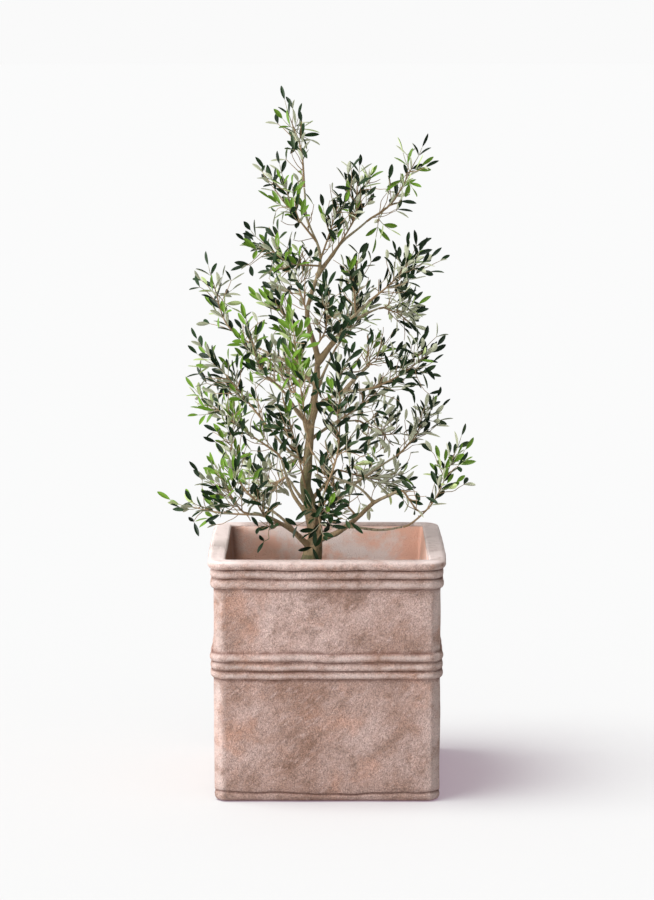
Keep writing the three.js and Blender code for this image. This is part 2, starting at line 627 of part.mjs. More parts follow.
// The seeded growth of one mass: side twigs turned round the stem, longest low down, with leaves. A
// twig that doesn't fit is tried once more on the stem's other side, and a leaf that would leave its
// mass's space, touch a limb or run through another leaf is left out.
function growMass(stem, stems, limbs, seed) {
  const { twigs: twigCount, spread } = stem.row;
  const random = seededRandom(seed);
  const turn = random() * 2 * Math.PI;
  const twigs = [];
  for (let i = 0; i < twigCount; i += 1) {
    const share = FIRST_TWIG + ((LAST_TWIG - FIRST_TWIG) * i) / (twigCount - 1);
    const nominal = (spread - LEAF_LENGTH / 2) * (LOWEST_TWIG - SHORTER_UPWARDS * share);
    const length = nominal * between(random, TWIG_RANGE);
    const angle = turn + TWIG_TURN * i;
    const twig = makeTwig(stem, stems, limbs, share, angle, length)
      ?? makeTwig(stem, stems, limbs, share, angle + Math.PI, length * SECOND_TRY);
    if (twig) {
      twigs.push(twig);
    }
  }
  const leaves = leavesAlong(stem.line, SHARE_OF_PAIRS_ON_STEM, random);
  for (const twig of twigs) {
    leaves.push(...leavesAlong(twig, SHARE_OF_PAIRS_ON_TWIG, random));
  }
  const kept = [];
  for (const leaf of leaves) {
    if (leafFits(leaf, stem, stems, limbs) && !kept.some((other) => leavesCross(leaf, other))) {
      kept.push(leaf);
    }
  }
  return { twigs, leaves: kept };
}

// A leaf's solid: a tetrahedron pressed flat, so that one edge is the blade's raised midrib and the
// opposite edge is its breadth. It is broadest before its middle and its root is sunk in its twig.
function leafSolid({ base, direction, width, face, length }) {
  const geometry = new THREE.TetrahedronGeometry(1);
  geometry.rotateZ(-Math.PI / 4);
  geometry.computeBoundingBox();
  const { max } = geometry.boundingBox;
  geometry.scale(1 / max.x, LEAF_WIDTH / 2 / max.y, LEAF_THICKNESS / 2 / max.z);
  geometry.translate(0, 0, -LEAF_THICKNESS / 2);
  const position = geometry.attributes.position;
  for (let i = 0; i < position.count; i += 1) {
    const isRib = position.getZ(i) > -LEAF_THICKNESS / 2;
    position.setX(i, isRib ? (length * (1 + position.getX(i))) / 2 : length * LEAF_WIDEST);
  }
  geometry.applyMatrix4(new THREE.Matrix4().makeBasis(direction, width, face).setPosition(base));
  return solidOf(geometry);
}

function massSolid(stem, growth, limbs) {
  const { curve, line, root } = stem;
  const stemRadius = (share) => STEM_ROOT_RADIUS + (STEM_TIP_RADIUS - STEM_ROOT_RADIUS) * share;
  const twigRadius = (share) => TWIG_ROOT_RADIUS + (TWIG_TIP_RADIUS - TWIG_ROOT_RADIUS) * share;
  let solid = solidOf(tubeGeometry(curve, TWIG_SIDES, line.length - 1, stemRadius));
  for (const [start, tip] of growth.twigs) {
    solid = solid.add(solidOf(tubeGeometry(new THREE.LineCurve3(start, tip), TWIG_SIDES, 1, twigRadius)));
  }
  for (const leaf of growth.leaves) {
    solid = solid.add(leafSolid(leaf));
  }
  if (!root.atTip) {
    solid = solid.subtract(limbs.get(stem.row.on).solidGrownBy(SEAT_GAP));
  }
  return solid;
}

const tree = new THREE.Group();
tree.name = 'potted_olive_tree';
tree.add(makePot(), makeSoil());

const limbs = new Map();
limbs.set(TRUNK.name, makeTrunk());
tree.add(meshOfSolid(TRUNK.name, trunkSolid(limbs.get(TRUNK.name)), 'bark'));
for (const row of BOUGHS) {
  const bough = makeBough(row, limbs);
  tree.add(meshOfSolid(row.name, cutToEarlier(bough, [...limbs.values()]), 'bark'));
  limbs.set(row.name, bough);
}

const stems = MASSES.map((row) => makeStem(row, limbs));
stems.forEach((stem, i) => {
  const growth = growMass(stem, stems, limbs, i + 1);
  const finish = stem.row.young >= YOUNG_FROM ? 'youngLeaves' : 'leaves';
  tree.add(meshOfSolid(stem.row.name, massSolid(stem, growth, limbs), finish));
});

export default tree;
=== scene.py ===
"""A young olive tree in a square terracotta planter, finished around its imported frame.

Lengths are metres and +Z is up. The origin is the middle of the planter's underside, and the
planter's front faces -Y. The tables of limbs and masses are in millimetres, as in the solids.
"""
import json
import math

import bmesh
import bpy
import numpy as np
from bpy.props import FloatProperty, FloatVectorProperty, PointerProperty
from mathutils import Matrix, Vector, kdtree, noise

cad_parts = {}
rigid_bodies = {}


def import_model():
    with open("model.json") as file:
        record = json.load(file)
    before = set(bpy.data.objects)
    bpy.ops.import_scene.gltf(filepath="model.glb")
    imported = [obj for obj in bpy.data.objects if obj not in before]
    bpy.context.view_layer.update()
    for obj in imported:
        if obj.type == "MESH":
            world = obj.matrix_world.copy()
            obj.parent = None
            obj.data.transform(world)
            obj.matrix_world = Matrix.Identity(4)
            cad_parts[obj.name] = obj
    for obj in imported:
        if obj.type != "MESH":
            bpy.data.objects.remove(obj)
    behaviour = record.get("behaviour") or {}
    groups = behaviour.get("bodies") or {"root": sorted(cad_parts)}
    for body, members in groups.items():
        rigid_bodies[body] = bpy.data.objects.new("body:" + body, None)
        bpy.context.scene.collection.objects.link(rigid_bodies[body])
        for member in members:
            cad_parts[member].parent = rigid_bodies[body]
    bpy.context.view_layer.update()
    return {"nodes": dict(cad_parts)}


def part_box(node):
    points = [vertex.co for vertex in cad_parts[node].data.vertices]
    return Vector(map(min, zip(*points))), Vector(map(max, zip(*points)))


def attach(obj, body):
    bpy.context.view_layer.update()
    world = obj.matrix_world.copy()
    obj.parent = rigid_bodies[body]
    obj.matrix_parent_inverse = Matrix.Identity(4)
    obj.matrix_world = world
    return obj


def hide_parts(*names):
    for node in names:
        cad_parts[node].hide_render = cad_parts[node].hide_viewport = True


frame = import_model()
POT_LOW, POT_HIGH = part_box("pot")
SOIL_LOW, SOIL_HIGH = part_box("soil")
FOLIAGE_NODES = sorted(node for node in frame["nodes"] if node.startswith("foliage_"))
LIMB_NODES = sorted(node for node in frame["nodes"] if node.startswith("bough_")) + ["trunk"]

bl_info = {
    "name": "Potted Olive Tree",
    "version": (1, 0, 0),
    "blender": (4, 5, 0),
    "location": "3D View > Sidebar > Olive Tree",
    "description": "Finishes a young olive tree in a square terracotta planter",
    "category": "Object",
}

MM = 0.001
FLOOR_SIZE = 60
UP = np.array((0.0, 0.0, 1.0))
FRONT = np.array((0.0, -1.0, 0.0))
UPWARD = Vector(UP)

# How closely flat parts of a turned profile are divided, and the least difference in height that counts.
COARSE_STEP = 0.05
UNDERSIDE_STEP = 0.04
WALL_STEP = 0.008
FINE_STEP = 0.004
HAIR = 0.001

# Planter: the middle, height and depth of each bead, from the lowest up. Pairs for marks on the clay
# say where each starts, measured from the rim's top, a bead's middle or a corner, and how far it fades.
BEADS = ((0.259, 0.016, 0.006), (0.276, 0.016, 0.006), (0.295, 0.018, 0.007), (0.443, 0.020, 0.007),
         (0.463, 0.018, 0.007))
MOUTH_HALF = 0.202
BASE_GROOVE = 0.018
BASE_GROOVE_REACH = 0.004
GROOVE_STEPS = ((-0.004, 0.0), (-0.0015, 0.0014), (0.0, 0.0042), (0.0015, 0.0014))
# Heights of the creases: dirt and painted shade darken the clay along them.
CREASES = (0.2510, 0.2675, 0.2850, 0.3040, 0.4330, 0.4535, 0.4720, BASE_GROOVE)
CREASE_REACH = 0.0022
BEAD_REACH = (0.012, 0.01)
# The rim's top gets a painted highlight.
RIM_HIGHLIGHT = (0.0015, 0.002)
# The rim's crest, the corners and the beads' crests get wear and a painted highlight.
RIM_CREST = (0.005, 0.006)
CORNER_CREST = (0.5, 0.45)
OUTER_DEPTH = 0.014
ROLL_RADIUS = 0.009
FOOT_RADIUS = 0.012
LIP_RADIUS = 0.005
LEAST_FLAT = 0.004
FLAT_BEHIND_ROLL = 0.004
INNER_SWELL = 0.008
INNER_CORNER = 0.008
LEAST_CORNER = 0.014
CORNER_STEPS = 14
SIDE_STEPS = 34
STEPS_ROUND = 4 * (CORNER_STEPS + SIDE_STEPS)

# Unevenness of the hand-pressed clay: how long each kind of wave is, and how high.
WALL_WAVE = 0.11
INNER_WAVE = 0.10
FINE_DENTS = (0.03, 0.0004)
BEAD_WAVES = (0.07, 0.0022)
BEAD_DENTS = (0.04, 0.0012)
GROOVE_WAVES = (0.05, 0.006)
GROOVE_WAVES_REACH = 0.008
WAVE_SEEDS = (3.7, 5.1, 20)
LOWEST_WAVES = 0.01
RIDGE_HEIGHT = 0.0012
RIDGE_PLACES = (0.2, 0.8)
RIDGE_REACH = 0.09
RIM_BULGE = 0.0025
RIM_BULGE_REACH = 0.05
# How strongly the corners get wear and a painted highlight.
CORNER_WEAR_AND_HIGHLIGHT = 0.8
CHIP = Vector((-0.222, -0.222, 0.218))
CHIP_SIZE = Vector((0.012, 0.012, 0.022))
CHIP_SOFTNESS = 0.8
CHIP_DEPTH = 0.0022

# Soil: how far its edge keeps off the walls, how far its flat top lies under its highest point, and the
# mound round the trunk's foot.
SOIL_GAP = 0.0006
SOIL_DIP = 0.004
SOIL_SHOULDER = 0.010
SOIL_CORNER = 0.014
SOIL_WAVE = 0.035
CLODS = (0.011, 0.0022)
MOUND = (0.05, 0.007)
HIGHEST_CLOD = 0.006

# Trunk, in millimetres: its line from inside the soil to the leader's tip.
TRUNK = ((-30, 0, 385), (-26, 0, 485), (-41, 0, 595), (-34, 0, 720), (-19, 0, 865), (-40, 0, 960),
         (-13, 0, 1070), (-42, 0, 1160), (-46, 0, 1215))
TRUNK_FOOT = Vector((-0.029, 0, 0))
TRUNK_RADII = (14.0, 2.2)
TRUNK_TAPER = 0.75
FLARE_SWELL = 17.0
FLARE_REACH = 88.0
COLLAR_SWELL = 0.35
COLLAR_REACH = 16.0

# Bark: the spacing and sides of the rings it is grown from, the fineness of its mesh, how a limb bends
# off its line and swells, and the ridges and knots on it.
BARK_STEP = 0.006
BARK_SIDES = 16
BARK_FINENESS = 0.0014
OLD_RADIUS = 0.014
WANDER_WAVE = 0.045
WANDER_SHARE = 0.5
WANDER_SHIFTS = (Vector((17.0, 0.0, 0.0)), Vector((0.0, 9.2, 0.0)), Vector((5.1, 0.0, 3.3)))
SWELLING = (0.03, 0.16)
RIDGE_WIDTH = 0.006
RIDGE_LENGTH = 0.022
KNOTS = (0.018, 0.0016)

# Boughs, in millimetres: name, parent, height or share of the parent's length at which it leaves,
# middle points, tip, and radii at root and tip.
BOUGHS = (
    ("left_low", "trunk", 470, ((-84, -40, 528), (-134, -65, 556)), (-158, -74, 560), (7, 2.7)),
    ("right_low", "trunk", 492, ((22, -44, 517), (61, -65, 550), (95, -80, 583)), (143, -90, 609),
     (7.4, 2.8)),
    ("left_inner", "left_low", 0.25, ((-98, -26, 548),), (-130, -18, 566), (4, 2.4)),
    ("right_low_back", "trunk", 520, ((39, 38, 586), (89, 60, 622)), (143, 78, 655), (4.6, 2.4)),
    ("right_sweep", "right_low", 0.42, ((103, -78, 527),), (154, -86, 535), (3.2, 2.3)),
    ("front_sweep", "right_low", 0.76, ((62, -98, 619), (8, -106, 644)), (-26, -106, 685), (2.9, 2.2)),
    ("front_low", "trunk", 508, ((-18, -60, 570),), (-4, -98, 612), (4.4, 2.4)),
    ("back_low_left", "trunk", 545, ((-52, 36, 572),), (-78, 74, 606), (5, 2.5)),
    ("back_low_right", "trunk", 570, ((-10, 36, 596),), (14, 74, 622), (5, 2.5)),
    ("left_rear", "trunk", 530, ((-72, 36, 586),), (-94, 50, 652), (5, 2.4)),
    ("left_mid", "trunk", 650, ((-76, -16, 678),), (-112, -32, 722), (4.2, 2.3)),
    ("right_back", "trunk", 698, ((18, 30, 732),), (58, 58, 732), (3.8, 2.3)),
    ("back_mid_left", "trunk", 690, ((-50, 48, 742),), (-62, 84, 780), (4.2, 2.3)),
    ("left_front", "trunk", 730, ((-56, -20, 756),), (-86, -50, 804), (5, 2.4)),
    ("right_mid", "trunk", 764, ((27, 5, 795),), (82, 4, 804), (4.8, 2.4)),
    ("right_mid_back", "right_mid", 0.6, ((60, 16, 826),), (84, 34, 846), (3.4, 2.3)),
    ("left_tall", "trunk", 812, ((-86, 34, 858),), (-134, 48, 880), (3.8, 2.3)),
    ("back_mid_right", "trunk", 790, ((-6, 46, 834),), (14, 80, 872), (4, 2.3)),
    ("right_fork", "trunk", 862, ((16, -6, 906), (60, -20, 962)), (86, -34, 988), (6.4, 2.5)),
    ("right_inner", "right_fork", 0.6, ((78, 2, 958),), (106, 16, 968), (3.8, 2.3)),
    ("right_upper", "trunk", 1036, ((30, 12, 1102),), (80, 24, 1144), (4.8, 2.3)),
)

# Masses of foliage, in millimetres: parent, height or share at which the stem leaves it, or None
# where it grows on from the tip, the stem's bend and tip, the spread of its side twigs, their count,
# and the share of bright young leaves.
MASSES = (
    ("trunk", None, (-52, 6, 1290), (-73, 12, 1350), 28, 2, 0.2),
    ("trunk", 1070, (2, -24, 1115), (22, -34, 1180), 60, 5, 0),
    ("trunk", 1105, (-68, -30, 1172), (-86, -36, 1230), 64, 5, 0.3),
    ("trunk", 1056, (-78, -44, 1068), (-130, -60, 1110), 60, 5, 0),
    ("trunk", 905, (-83, -34, 954), (-101, -44, 983), 62, 5, 0.3),
    ("trunk", 890, (-2, -62, 937), (-2, -96, 997), 62, 5, 0),
    ("trunk", 960, (-63, 60, 1018), (-86, 100, 1051), 74, 5, 0),
    ("right_upper", 0.3, (55, 8, 1153), (63, 4, 1226), 78, 7, 0.1),
    ("right_upper", None, (130, 36, 1179), (179, 46, 1264), 10, 2, 0.6),
    ("right_fork", 0.75, (54, -40, 1015), (52, -42, 1068), 64, 5, 0),
    ("right_fork", None, (127, -52, 1024), (168, -72, 1071), 62, 5, 0),
    ("right_inner", None, (137, 38, 959), (158, 56, 953), 56, 5, 0),
    ("right_mid_back", None, (80, 56, 845), (109, 84, 871), 68, 6, 0),
    ("right_mid", None, (146, -8, 833), (200, -32, 876), 56, 6, 0),
    ("right_back", 0.55, (72, 52, 767), (101, 70, 810), 70, 6, 0),
    ("right_back", None, (114, 106, 697), (144, 136, 693), 72, 6, 0),
    ("right_low_back", None, (176, 98, 686), (210, 114, 738), 44, 5, 0),
    ("right_low", None, (188, -96, 567), (207, -106, 577), 76, 6, 0),
    ("right_sweep", None, (214, -94, 587), (258, -82, 685), 36, 5, 0.3),
    ("right_low", 0.55, (22, -60, 598), (-16, -70, 665), 68, 6, 0),
    ("front_sweep", None, (-48, -106, 788), (-68, -106, 944), 60, 7, 0.8),
    ("front_low", None, (22, -140, 700), (22, -156, 891), 66, 7, 0),
    ("front_low", 0.5, (-14, -92, 562), (0, -142, 607), 80, 7, 0),
    ("left_low", None, (-178, -86, 574), (-207, -98, 625), 68, 5, 0.2),
    ("left_low", 0.85, (-211, -60, 559), (-283, -48, 571), 16, 2, 0.4),
    ("left_inner", None, (-178, 0, 613), (-202, 10, 740), 58, 6, 0.6),
    ("left_rear", None, (-167, 62, 708), (-245, 62, 770), 44, 5, 0.3),
    ("left_mid", None, (-176, -52, 806), (-240, -62, 884), 42, 5, 0.1),
    ("left_front", None, (-131, -76, 853), (-154, -98, 925), 50, 6, 0.1),
    ("left_tall", None, (-203, 56, 928), (-233, 56, 1018), 12, 2, 0.4),
    ("trunk", 585, (-63, -76, 701), (-86, -146, 802), 74, 6, 0),
    ("left_low", 0.5, (-120, -66, 546), (-143, -88, 586), 66, 6, 0),
    ("back_low_left", None, (-107, 144, 590), (-146, 198, 573), 68, 6, 0),
    ("back_low_right", None, (82, 144, 599), (146, 198, 581), 64, 6, 0.1),
    ("back_mid_left", None, (-77, 132, 786), (-86, 172, 831), 88, 6, 0),
    ("back_mid_right", None, (39, 112, 905), (68, 140, 960), 60, 6, 0),
)

# Growth, by the solids' rule. A spray here stands where the solids have one large leaf.
STEM_STEP = 0.036
STEM_START = 0.0068
SPRAY_LENGTH = 0.062
SPRAY_WIDTH = 0.021
SPRAY_WIDEST = 0.42
SPRAY_PROBES = (0.3, SPRAY_WIDEST, 0.75, 1.0)
SPRAY_LEAN = math.radians(46)
SPRAY_LEAN_RANGE = (0.85, 1.15)
SIDE_SPRAY_RANGE = (0.8, 1.1)
TIP_SPRAY_RANGE = (0.9, 1.1)
SPRAY_ROLL = 0.45
STEM_SPRAYS = (0.56, 0.86)
TWIG_SPRAYS = (0.62,)
TWIG_LEAN = math.radians(50)
TWIG_TURN = math.radians(137.5)
TWIG_LIFT = 0.45
TWIG_RADIUS = 0.0013
TWIG_RANGE = (0.85, 1.15)
TWIG_PROBES = (0.4, 0.7, 1.0)
FIRST_TWIG = 0.2
LAST_TWIG = 0.86
LOWEST_TWIG = 1.1
SHORTER_UPWARDS = 0.4
SECOND_TRY = 0.8
SPACE_MARGIN = 0.0012
RIM_CLEARANCE = 0.008
SEAT_GAP = 0.0003
LIMB_STEP = 0.04

# Finer growth: radii at root and tip, spacing of the rings, and where leaves start along a line.
STEM_RADII = (0.0024, 0.0010)
TWIG_RADII = (0.0013, 0.0008)
SHOOT_RADII = (0.0009, 0.0006)
BARE_TWIG_RADII = (0.0010, 0.0006)
TWIG_SIDES = 6
SHOOT_SIDES = 4
TWIG_STEP = 0.012
BARE_TWIG_STEP = 0.008
FIRST_LEAF_ON_STEM = 0.35
FIRST_LEAF_ON_TWIG = 0.45
FIRST_LEAF_ON_SHOOT = 0.25
ROOM_FOR_TIP_LEAF = 0.7
SHOOT_LIFT = 0.35
BARE_TWIG_GAP = 0.020
BARE_TWIG_ROOTS = (0.05, 0.8)
BARE_TWIG_LEAN = 0.9
BARE_TWIG_BENDS = 4
BARE_TWIG_LIFT = 0.12
BARE_TWIG_WANDER = (-0.35, 0.35)
BARE_TWIG_BEND_RANGE = (0.010, 0.020)
BARE_TWIG_PAIR = 0.95
FINER_SEED = 1000

# Leaves: how they lean, turn, roll and curl, how their sizes differ, and how their tints are dealt.
OUTWARD_TURN = 0.4
UPWARD_TURN = 0.6
FRONT_TURN = 0.38
LEAF_LEAN = math.radians(40)
LEAF_LEAN_RANGE = (0.7, 1.35)
END_PAIR_LEAN = math.radians(44)
END_PAIR_LEAN_RANGE = (0.75, 1.3)
LEAF_LENGTH_RANGE = (0.78, 1.12)
LEAF_WIDTH_RANGE = (0.85, 1.12)
LEAF_ROLL_RANGE = (-0.6, 0.6)
LEAF_CURL_RANGE = (-0.10, 0.06)
LEAF_PROBES = (0.5, 1.0)
LEAF_CUP = 0.2
TIP_LEAF_SIZE = 0.85
END_PAIR_SIZE = 0.9
YOUNG_SPRAYS = 0.6
YOUNG_TIPS = (0.15, 1.3)
DEEP_SHARE = 0.5
DEEP_OR_GREEN_SHARE = 0.9

# Leaf blade: shares of its length, and how broad it is at each as a share of its half width.
LEAF_STATIONS = (0.0, 0.08, 0.2, 0.38, 0.58, 0.78, 0.92, 1.0)
LEAF_BREADTHS = (0.0, 0.13, 0.52, 0.88, 1.0, 0.82, 0.42, 0.0)

# Patterns on the clay: the scale, low and high marks, detail and warp of their patches, and strength.
CLAY_PATTERNS = {
    "clouds": (5.5, 0.38, 0.62, 5.0, 0.4, 0.45),
    "drifts": (13.0, 0.34, 0.66, 10.0, 0.1, 0.42),
    "smears": (19.0, 0.48, 0.68, 10.0, 0.3, 0.5),
    "strokes": (150.0, 0.50, 0.70, 5.0, 0.2, 0.5),
    "stains": (36.0, 0.54, 0.70, 8.0, 0.2, 0.4),
    "rubbed": (9.0, 0.52, 0.68, 6.0, 0.4, 0.4),
    "limed": (9.0, 0.44, 0.62, 10.0, 0.3, 1.0),
    # Patches of the painted highlight on the rim's top.
    "rim": (22.0, 0.15, 0.55, 8.0, 0.4, 1.0),
    # Patches of wear and painted highlights on the crests and corners.
    "worn_and_highlit": (40.0, 0.30, 0.62, 5.0, 0.4, 0.5),
    # Patches of dirt and painted shade in the creases.
    "dirt_and_shade": (26.0, 0.25, 0.60, 5.0, 0.4, 0.7),
    "waves": (60.0, 0.30, 0.70, 4.0, 0.4, 0.5),
}


def length_setting(name, description, default):
    """A setting that is a length."""
    return FloatProperty(name=name, description=description, default=default, subtype="DISTANCE",
                         unit="LENGTH")


def angle_setting(name, description, degrees):
    """A setting that is an angle."""
    return FloatProperty(name=name, description=description, default=math.radians(degrees), subtype="ANGLE",
                         unit="ROTATION")


def colour_setting(name, description, *colour):
    """A setting that is a colour, by its red, green and blue."""
    return FloatVectorProperty(name=name, description=description, default=colour, size=3, subtype="COLOR")


class PlanterSettings(bpy.types.PropertyGroup):
    """Sizes and colours of the planter."""

    height: length_setting("Height", "From the floor to the rim's top", POT_HIGH.z)
    rim_width: length_setting("Rim width", "Across the outside of the rolled rim", POT_HIGH.x - POT_LOW.x)
    body_width: length_setting("Body width", "Across the flat walls", 0.452)
    mouth_width: length_setting("Mouth width", "Across the opening between the walls", 2 * MOUTH_HALF)
    floor_thickness: length_setting("Floor thickness", "Thickness of the planter's floor", 0.034)
    corner_radius: length_setting("Corner radius", "Rounding of the upright corners", 0.026)
    unevenness: length_setting("Unevenness", "How far the hand-pressed walls wander", 0.0014)
    clay: colour_setting("Clay", "Fired clay", 0.28, 0.162, 0.120)
    bloom: colour_setting("Bloom", "Pale lime bloom on the clay", 0.54, 0.40, 0.365)
    smear: colour_setting("Smears", "Dark weathered smears", 0.165, 0.092, 0.062)
    # Wear and a painted highlight: paler clay on the crests and corners. The same pale clay shows in the
    # chip.
    worn_and_highlit: colour_setting("Worn and highlit clay", "Palest clay, on worn edges and crests", 0.68, 0.57, 0.54)
    raw: colour_setting("Raw clay", "Orange clay where the bloom is rubbed off", 0.48, 0.25, 0.17)
    # Dirt and painted shade in the creases.
    dirt_and_shade: colour_setting("Dirt and shade", "Dirt in the creases", 0.12, 0.045, 0.03)
    # Painted highlight on the rim's top, mottled, strongest towards its left and right ends.
    rim_highlight: colour_setting("Rim highlight", "Painted highlight on the top of the rim", 0.80, 0.68, 0.65)
    inner: colour_setting("Inner clay", "Bare clay on the inner walls", 0.94, 0.56, 0.43)
    inner_bloom: colour_setting("Inner bloom", "Paler clay on the inner walls", 0.94, 0.78, 0.73)
    # Painted shade: darker clay on the inner wall at the left, which lies in shade.
    left_wall_shade: colour_setting("Painted shade", "Painted shade on the inner wall at the left", 0.30, 0.150, 0.110)


class SoilSettings(bpy.types.PropertyGroup):
    """Size and colours of the soil."""

    clod_height: length_setting("Clod height", "How far the clods stand up", 0.005)
    dark: colour_setting("Damp soil", "Soil between the clods", 0.020, 0.012, 0.008)
    light: colour_setting("Dry soil", "Soil on the clods' tops", 0.085, 0.055, 0.036)


class LimbSettings(bpy.types.PropertyGroup):
    """Relief and colours of the bark."""

    relief: length_setting("Relief", "Depth of the bark's ridges on the trunk", 0.0009)
    bark: colour_setting("Bark", "Bark of the boughs", 0.235, 0.155, 0.080)
    crack: colour_setting("Cracks", "Bark between its ridges", 0.072, 0.050, 0.030)
    moss: colour_setting("Old bark", "Olive-green bark near the foot", 0.082, 0.078, 0.026)
    shoot: colour_setting("Shoots", "Bark of the youngest twigs", 0.34, 0.32, 0.22)


class LeafSettings(bpy.types.PropertyGroup):
    """Sizes and colours of the leaves."""

    length: length_setting("Length", "Length of a full-grown leaf", 0.036)
    width: length_setting("Width", "Width of a full-grown leaf", 0.0103)
    thickness: length_setting("Thickness", "Thickness at the midrib", 0.0006)
    gap: length_setting("Gap", "Distance between pairs of leaves along a twig", 0.0175)
    crowding: length_setting("Crowding", "Least distance between the middles of two leaves", 0.0095)
    deep: colour_setting("Deep green", "Upper side of old leaves", 0.005, 0.015, 0.004)
    green: colour_setting("Green", "Upper side of most leaves", 0.010, 0.029, 0.007)
    grey: colour_setting("Grey green", "Upper side of the greyer leaves", 0.030, 0.052, 0.020)
    young: colour_setting("Young green", "Upper side of new leaves", 0.105, 0.200, 0.018)
    silver: colour_setting("Silver", "Underside of grown leaves", 0.41, 0.43, 0.30)
    young_silver: colour_setting("Young silver", "Underside of new leaves", 0.46, 0.56, 0.24)


class StageSettings(bpy.types.PropertyGroup):
    """Floor, light and camera."""

    floor: colour_setting("Floor", "Pale floor", 0.587, 0.650, 0.604)
    floor_glow: colour_setting("Floor glow", "Light that the floor gives off, like a lit table",
                               0.206, 0.126, 0.185)
    backdrop: colour_setting("Backdrop", "What shows past the floor", 0.956, 0.956, 0.956)
    distance: length_setting("Distance", "From the camera to the planter's middle", 6.240)
    camera_height: length_setting("Camera height", "Above the floor", 1.613)
    pitch: angle_setting("Pitch", "How far the camera looks down", 8.51)
    lens: FloatProperty(name="Lens", description="Focal length", default=123.52, subtype="DISTANCE_CAMERA",
                        unit="CAMERA")
    ambient: FloatProperty(name="Ambient", description="Brightness of the light from all round", default=0.5)
    key: FloatProperty(name="Key", description="Strength of the soft light high on the left", default=2.7)
    key_height: angle_setting("Key height", "The key light's angle above the floor", 67)
    key_turn: angle_setting("Key turn", "How far in front of the left side the key light is", 12)
    key_softness: angle_setting("Key softness", "Angle that the key light fills", 34)
    fill: FloatProperty(name="Fill", description="Power of the soft light beside the plant on the left",
                        default=94.0, unit="POWER")
    fill_place: FloatVectorProperty(name="Fill place", description="Where the fill light stands", size=3,
                                    default=(-2.3, -1.2, 1.0), subtype="TRANSLATION", unit="LENGTH")
    fill_size: length_setting("Fill size", "Width and height of the fill light", 1.2)
    front: FloatProperty(name="Front", description="Strength of the faint low light in front", default=0.7)
    front_height: angle_setting("Front height", "The front light's angle above the floor", 14)
    front_turn: angle_setting("Front turn", "How far in front of the left side the front light is", 72)
    front_softness: angle_setting("Front softness", "Angle that the front light fills", 40)


def seeded_random(seed):
    """Numbers that look random but are the same every time, and the same as in the solids' growth."""
    state = seed

    def draw():
        nonlocal state
        state = (state * 1664525 + 1013904223) % 2**32
        return state / 2**32

    return draw


def between(random, low_high):
    """A number drawn from a range."""
    low, high = low_high
    return low + (high - low) * random()


def unit(vector):
    """The vector at a length of one."""
    return vector / np.linalg.norm(vector)


class Line:
    """A smooth line through points, read by the share of its length. It is a centripetal curve."""

    def __init__(self, points, steps=24):
        points = [np.array(point, float) for point in points]
        guides = [2 * points[0] - points[1], *points, 2 * points[-1] - points[-2]]
        dense = []
        for before, start, end, after in zip(guides, guides[1:], guides[2:], guides[3:]):
            pairs = ((before, start), (start, end), (end, after))
            gap = [math.sqrt(np.linalg.norm(b - a)) for a, b in pairs]
            leave = (start - before) / gap[0] - (end - before) / (gap[0] + gap[1]) + (end - start) / gap[1]
            arrive = (end - start) / gap[1] - (after - start) / (gap[1] + gap[2]) + (after - end) / gap[2]
            leave, arrive = leave * gap[1], arrive * gap[1]
            for t in np.arange(steps) / steps:
                dense.append((2 * t**3 - 3 * t**2 + 1) * start + (t**3 - 2 * t**2 + t) * leave
                             + (3 * t**2 - 2 * t**3) * end + (t**3 - t**2) * arrive)
        self.points = np.array([*dense, points[-1]])
        steps_long = np.linalg.norm(np.diff(self.points, axis=0), axis=1)
        self.reached = np.concatenate(([0.0], np.cumsum(steps_long)))
        self.length = self.reached[-1]

    def at(self, share):
        """The point at a share of the length, or the points at several."""
        place = np.asarray(share) * self.length
        return np.stack([np.interp(place, self.reached, self.points[:, i]) for i in range(3)], axis=-1)

    def tangent(self, share):
        """Which way the line runs at a share of its length."""
        reach = 0.01
        return unit(self.at(min(share + reach, 1.0)) - self.at(max(share - reach, 0.0)))

    def share_at_height(self, height):
        """The share of the length at which a rising line reaches a height."""
        return np.interp(height, self.points[:, 2], self.reached) / self.length


class Limb:
    """The trunk or a bough: its line, and its radius by the share of its length."""

    def __init__(self, line, radius_at):
        self.line = line
        self.radius_at = radius_at

    def rings(self, step):
        """Evenly spaced points with their radii."""
        shares = np.linspace(0, 1, max(4, round(self.line.length / step) + 1))
        return self.line.at(shares), self.radius_at(shares)


def metres(points):
    """Millimetres turned to metres."""
    return np.array(points, float) * MM


def root_of(parent, where):
    """Where a bough or stem leaves its parent: at a height in millimetres, at a share, or at the tip."""
    if where is None:
        return parent.line.at(1.0) + parent.line.tangent(1.0) * SEAT_GAP
    if where > 1:
        return parent.line.at(parent.line.share_at_height(where * MM))
    return parent.line.at(where)


def make_limbs():
    """The trunk and boughs by name."""
    line = Line(metres(TRUNK))
    root, tip = metres(TRUNK_RADII)
    decay = line.length / (FLARE_REACH * MM)
    limbs = {"trunk": Limb(line, lambda share: tip + (root - tip) * (1 - share) ** (1 / TRUNK_TAPER)
                           + FLARE_SWELL * MM * np.exp(-share * decay))}
    for name, parent, where, bends, end, radii in BOUGHS:
        line = Line([root_of(limbs[parent], where), *metres(bends), metres(end)])
        limbs[name] = Limb(line, bough_radius(line.length, *metres(radii)))
    return limbs


def bough_radius(length, root, tip):
    """A bough's radius by share: an even taper with a collar at its root."""
    return lambda share: (tip + (root - tip) * (1 - share)
                          + COLLAR_SWELL * root * np.exp(-share * length / (COLLAR_REACH * MM)))


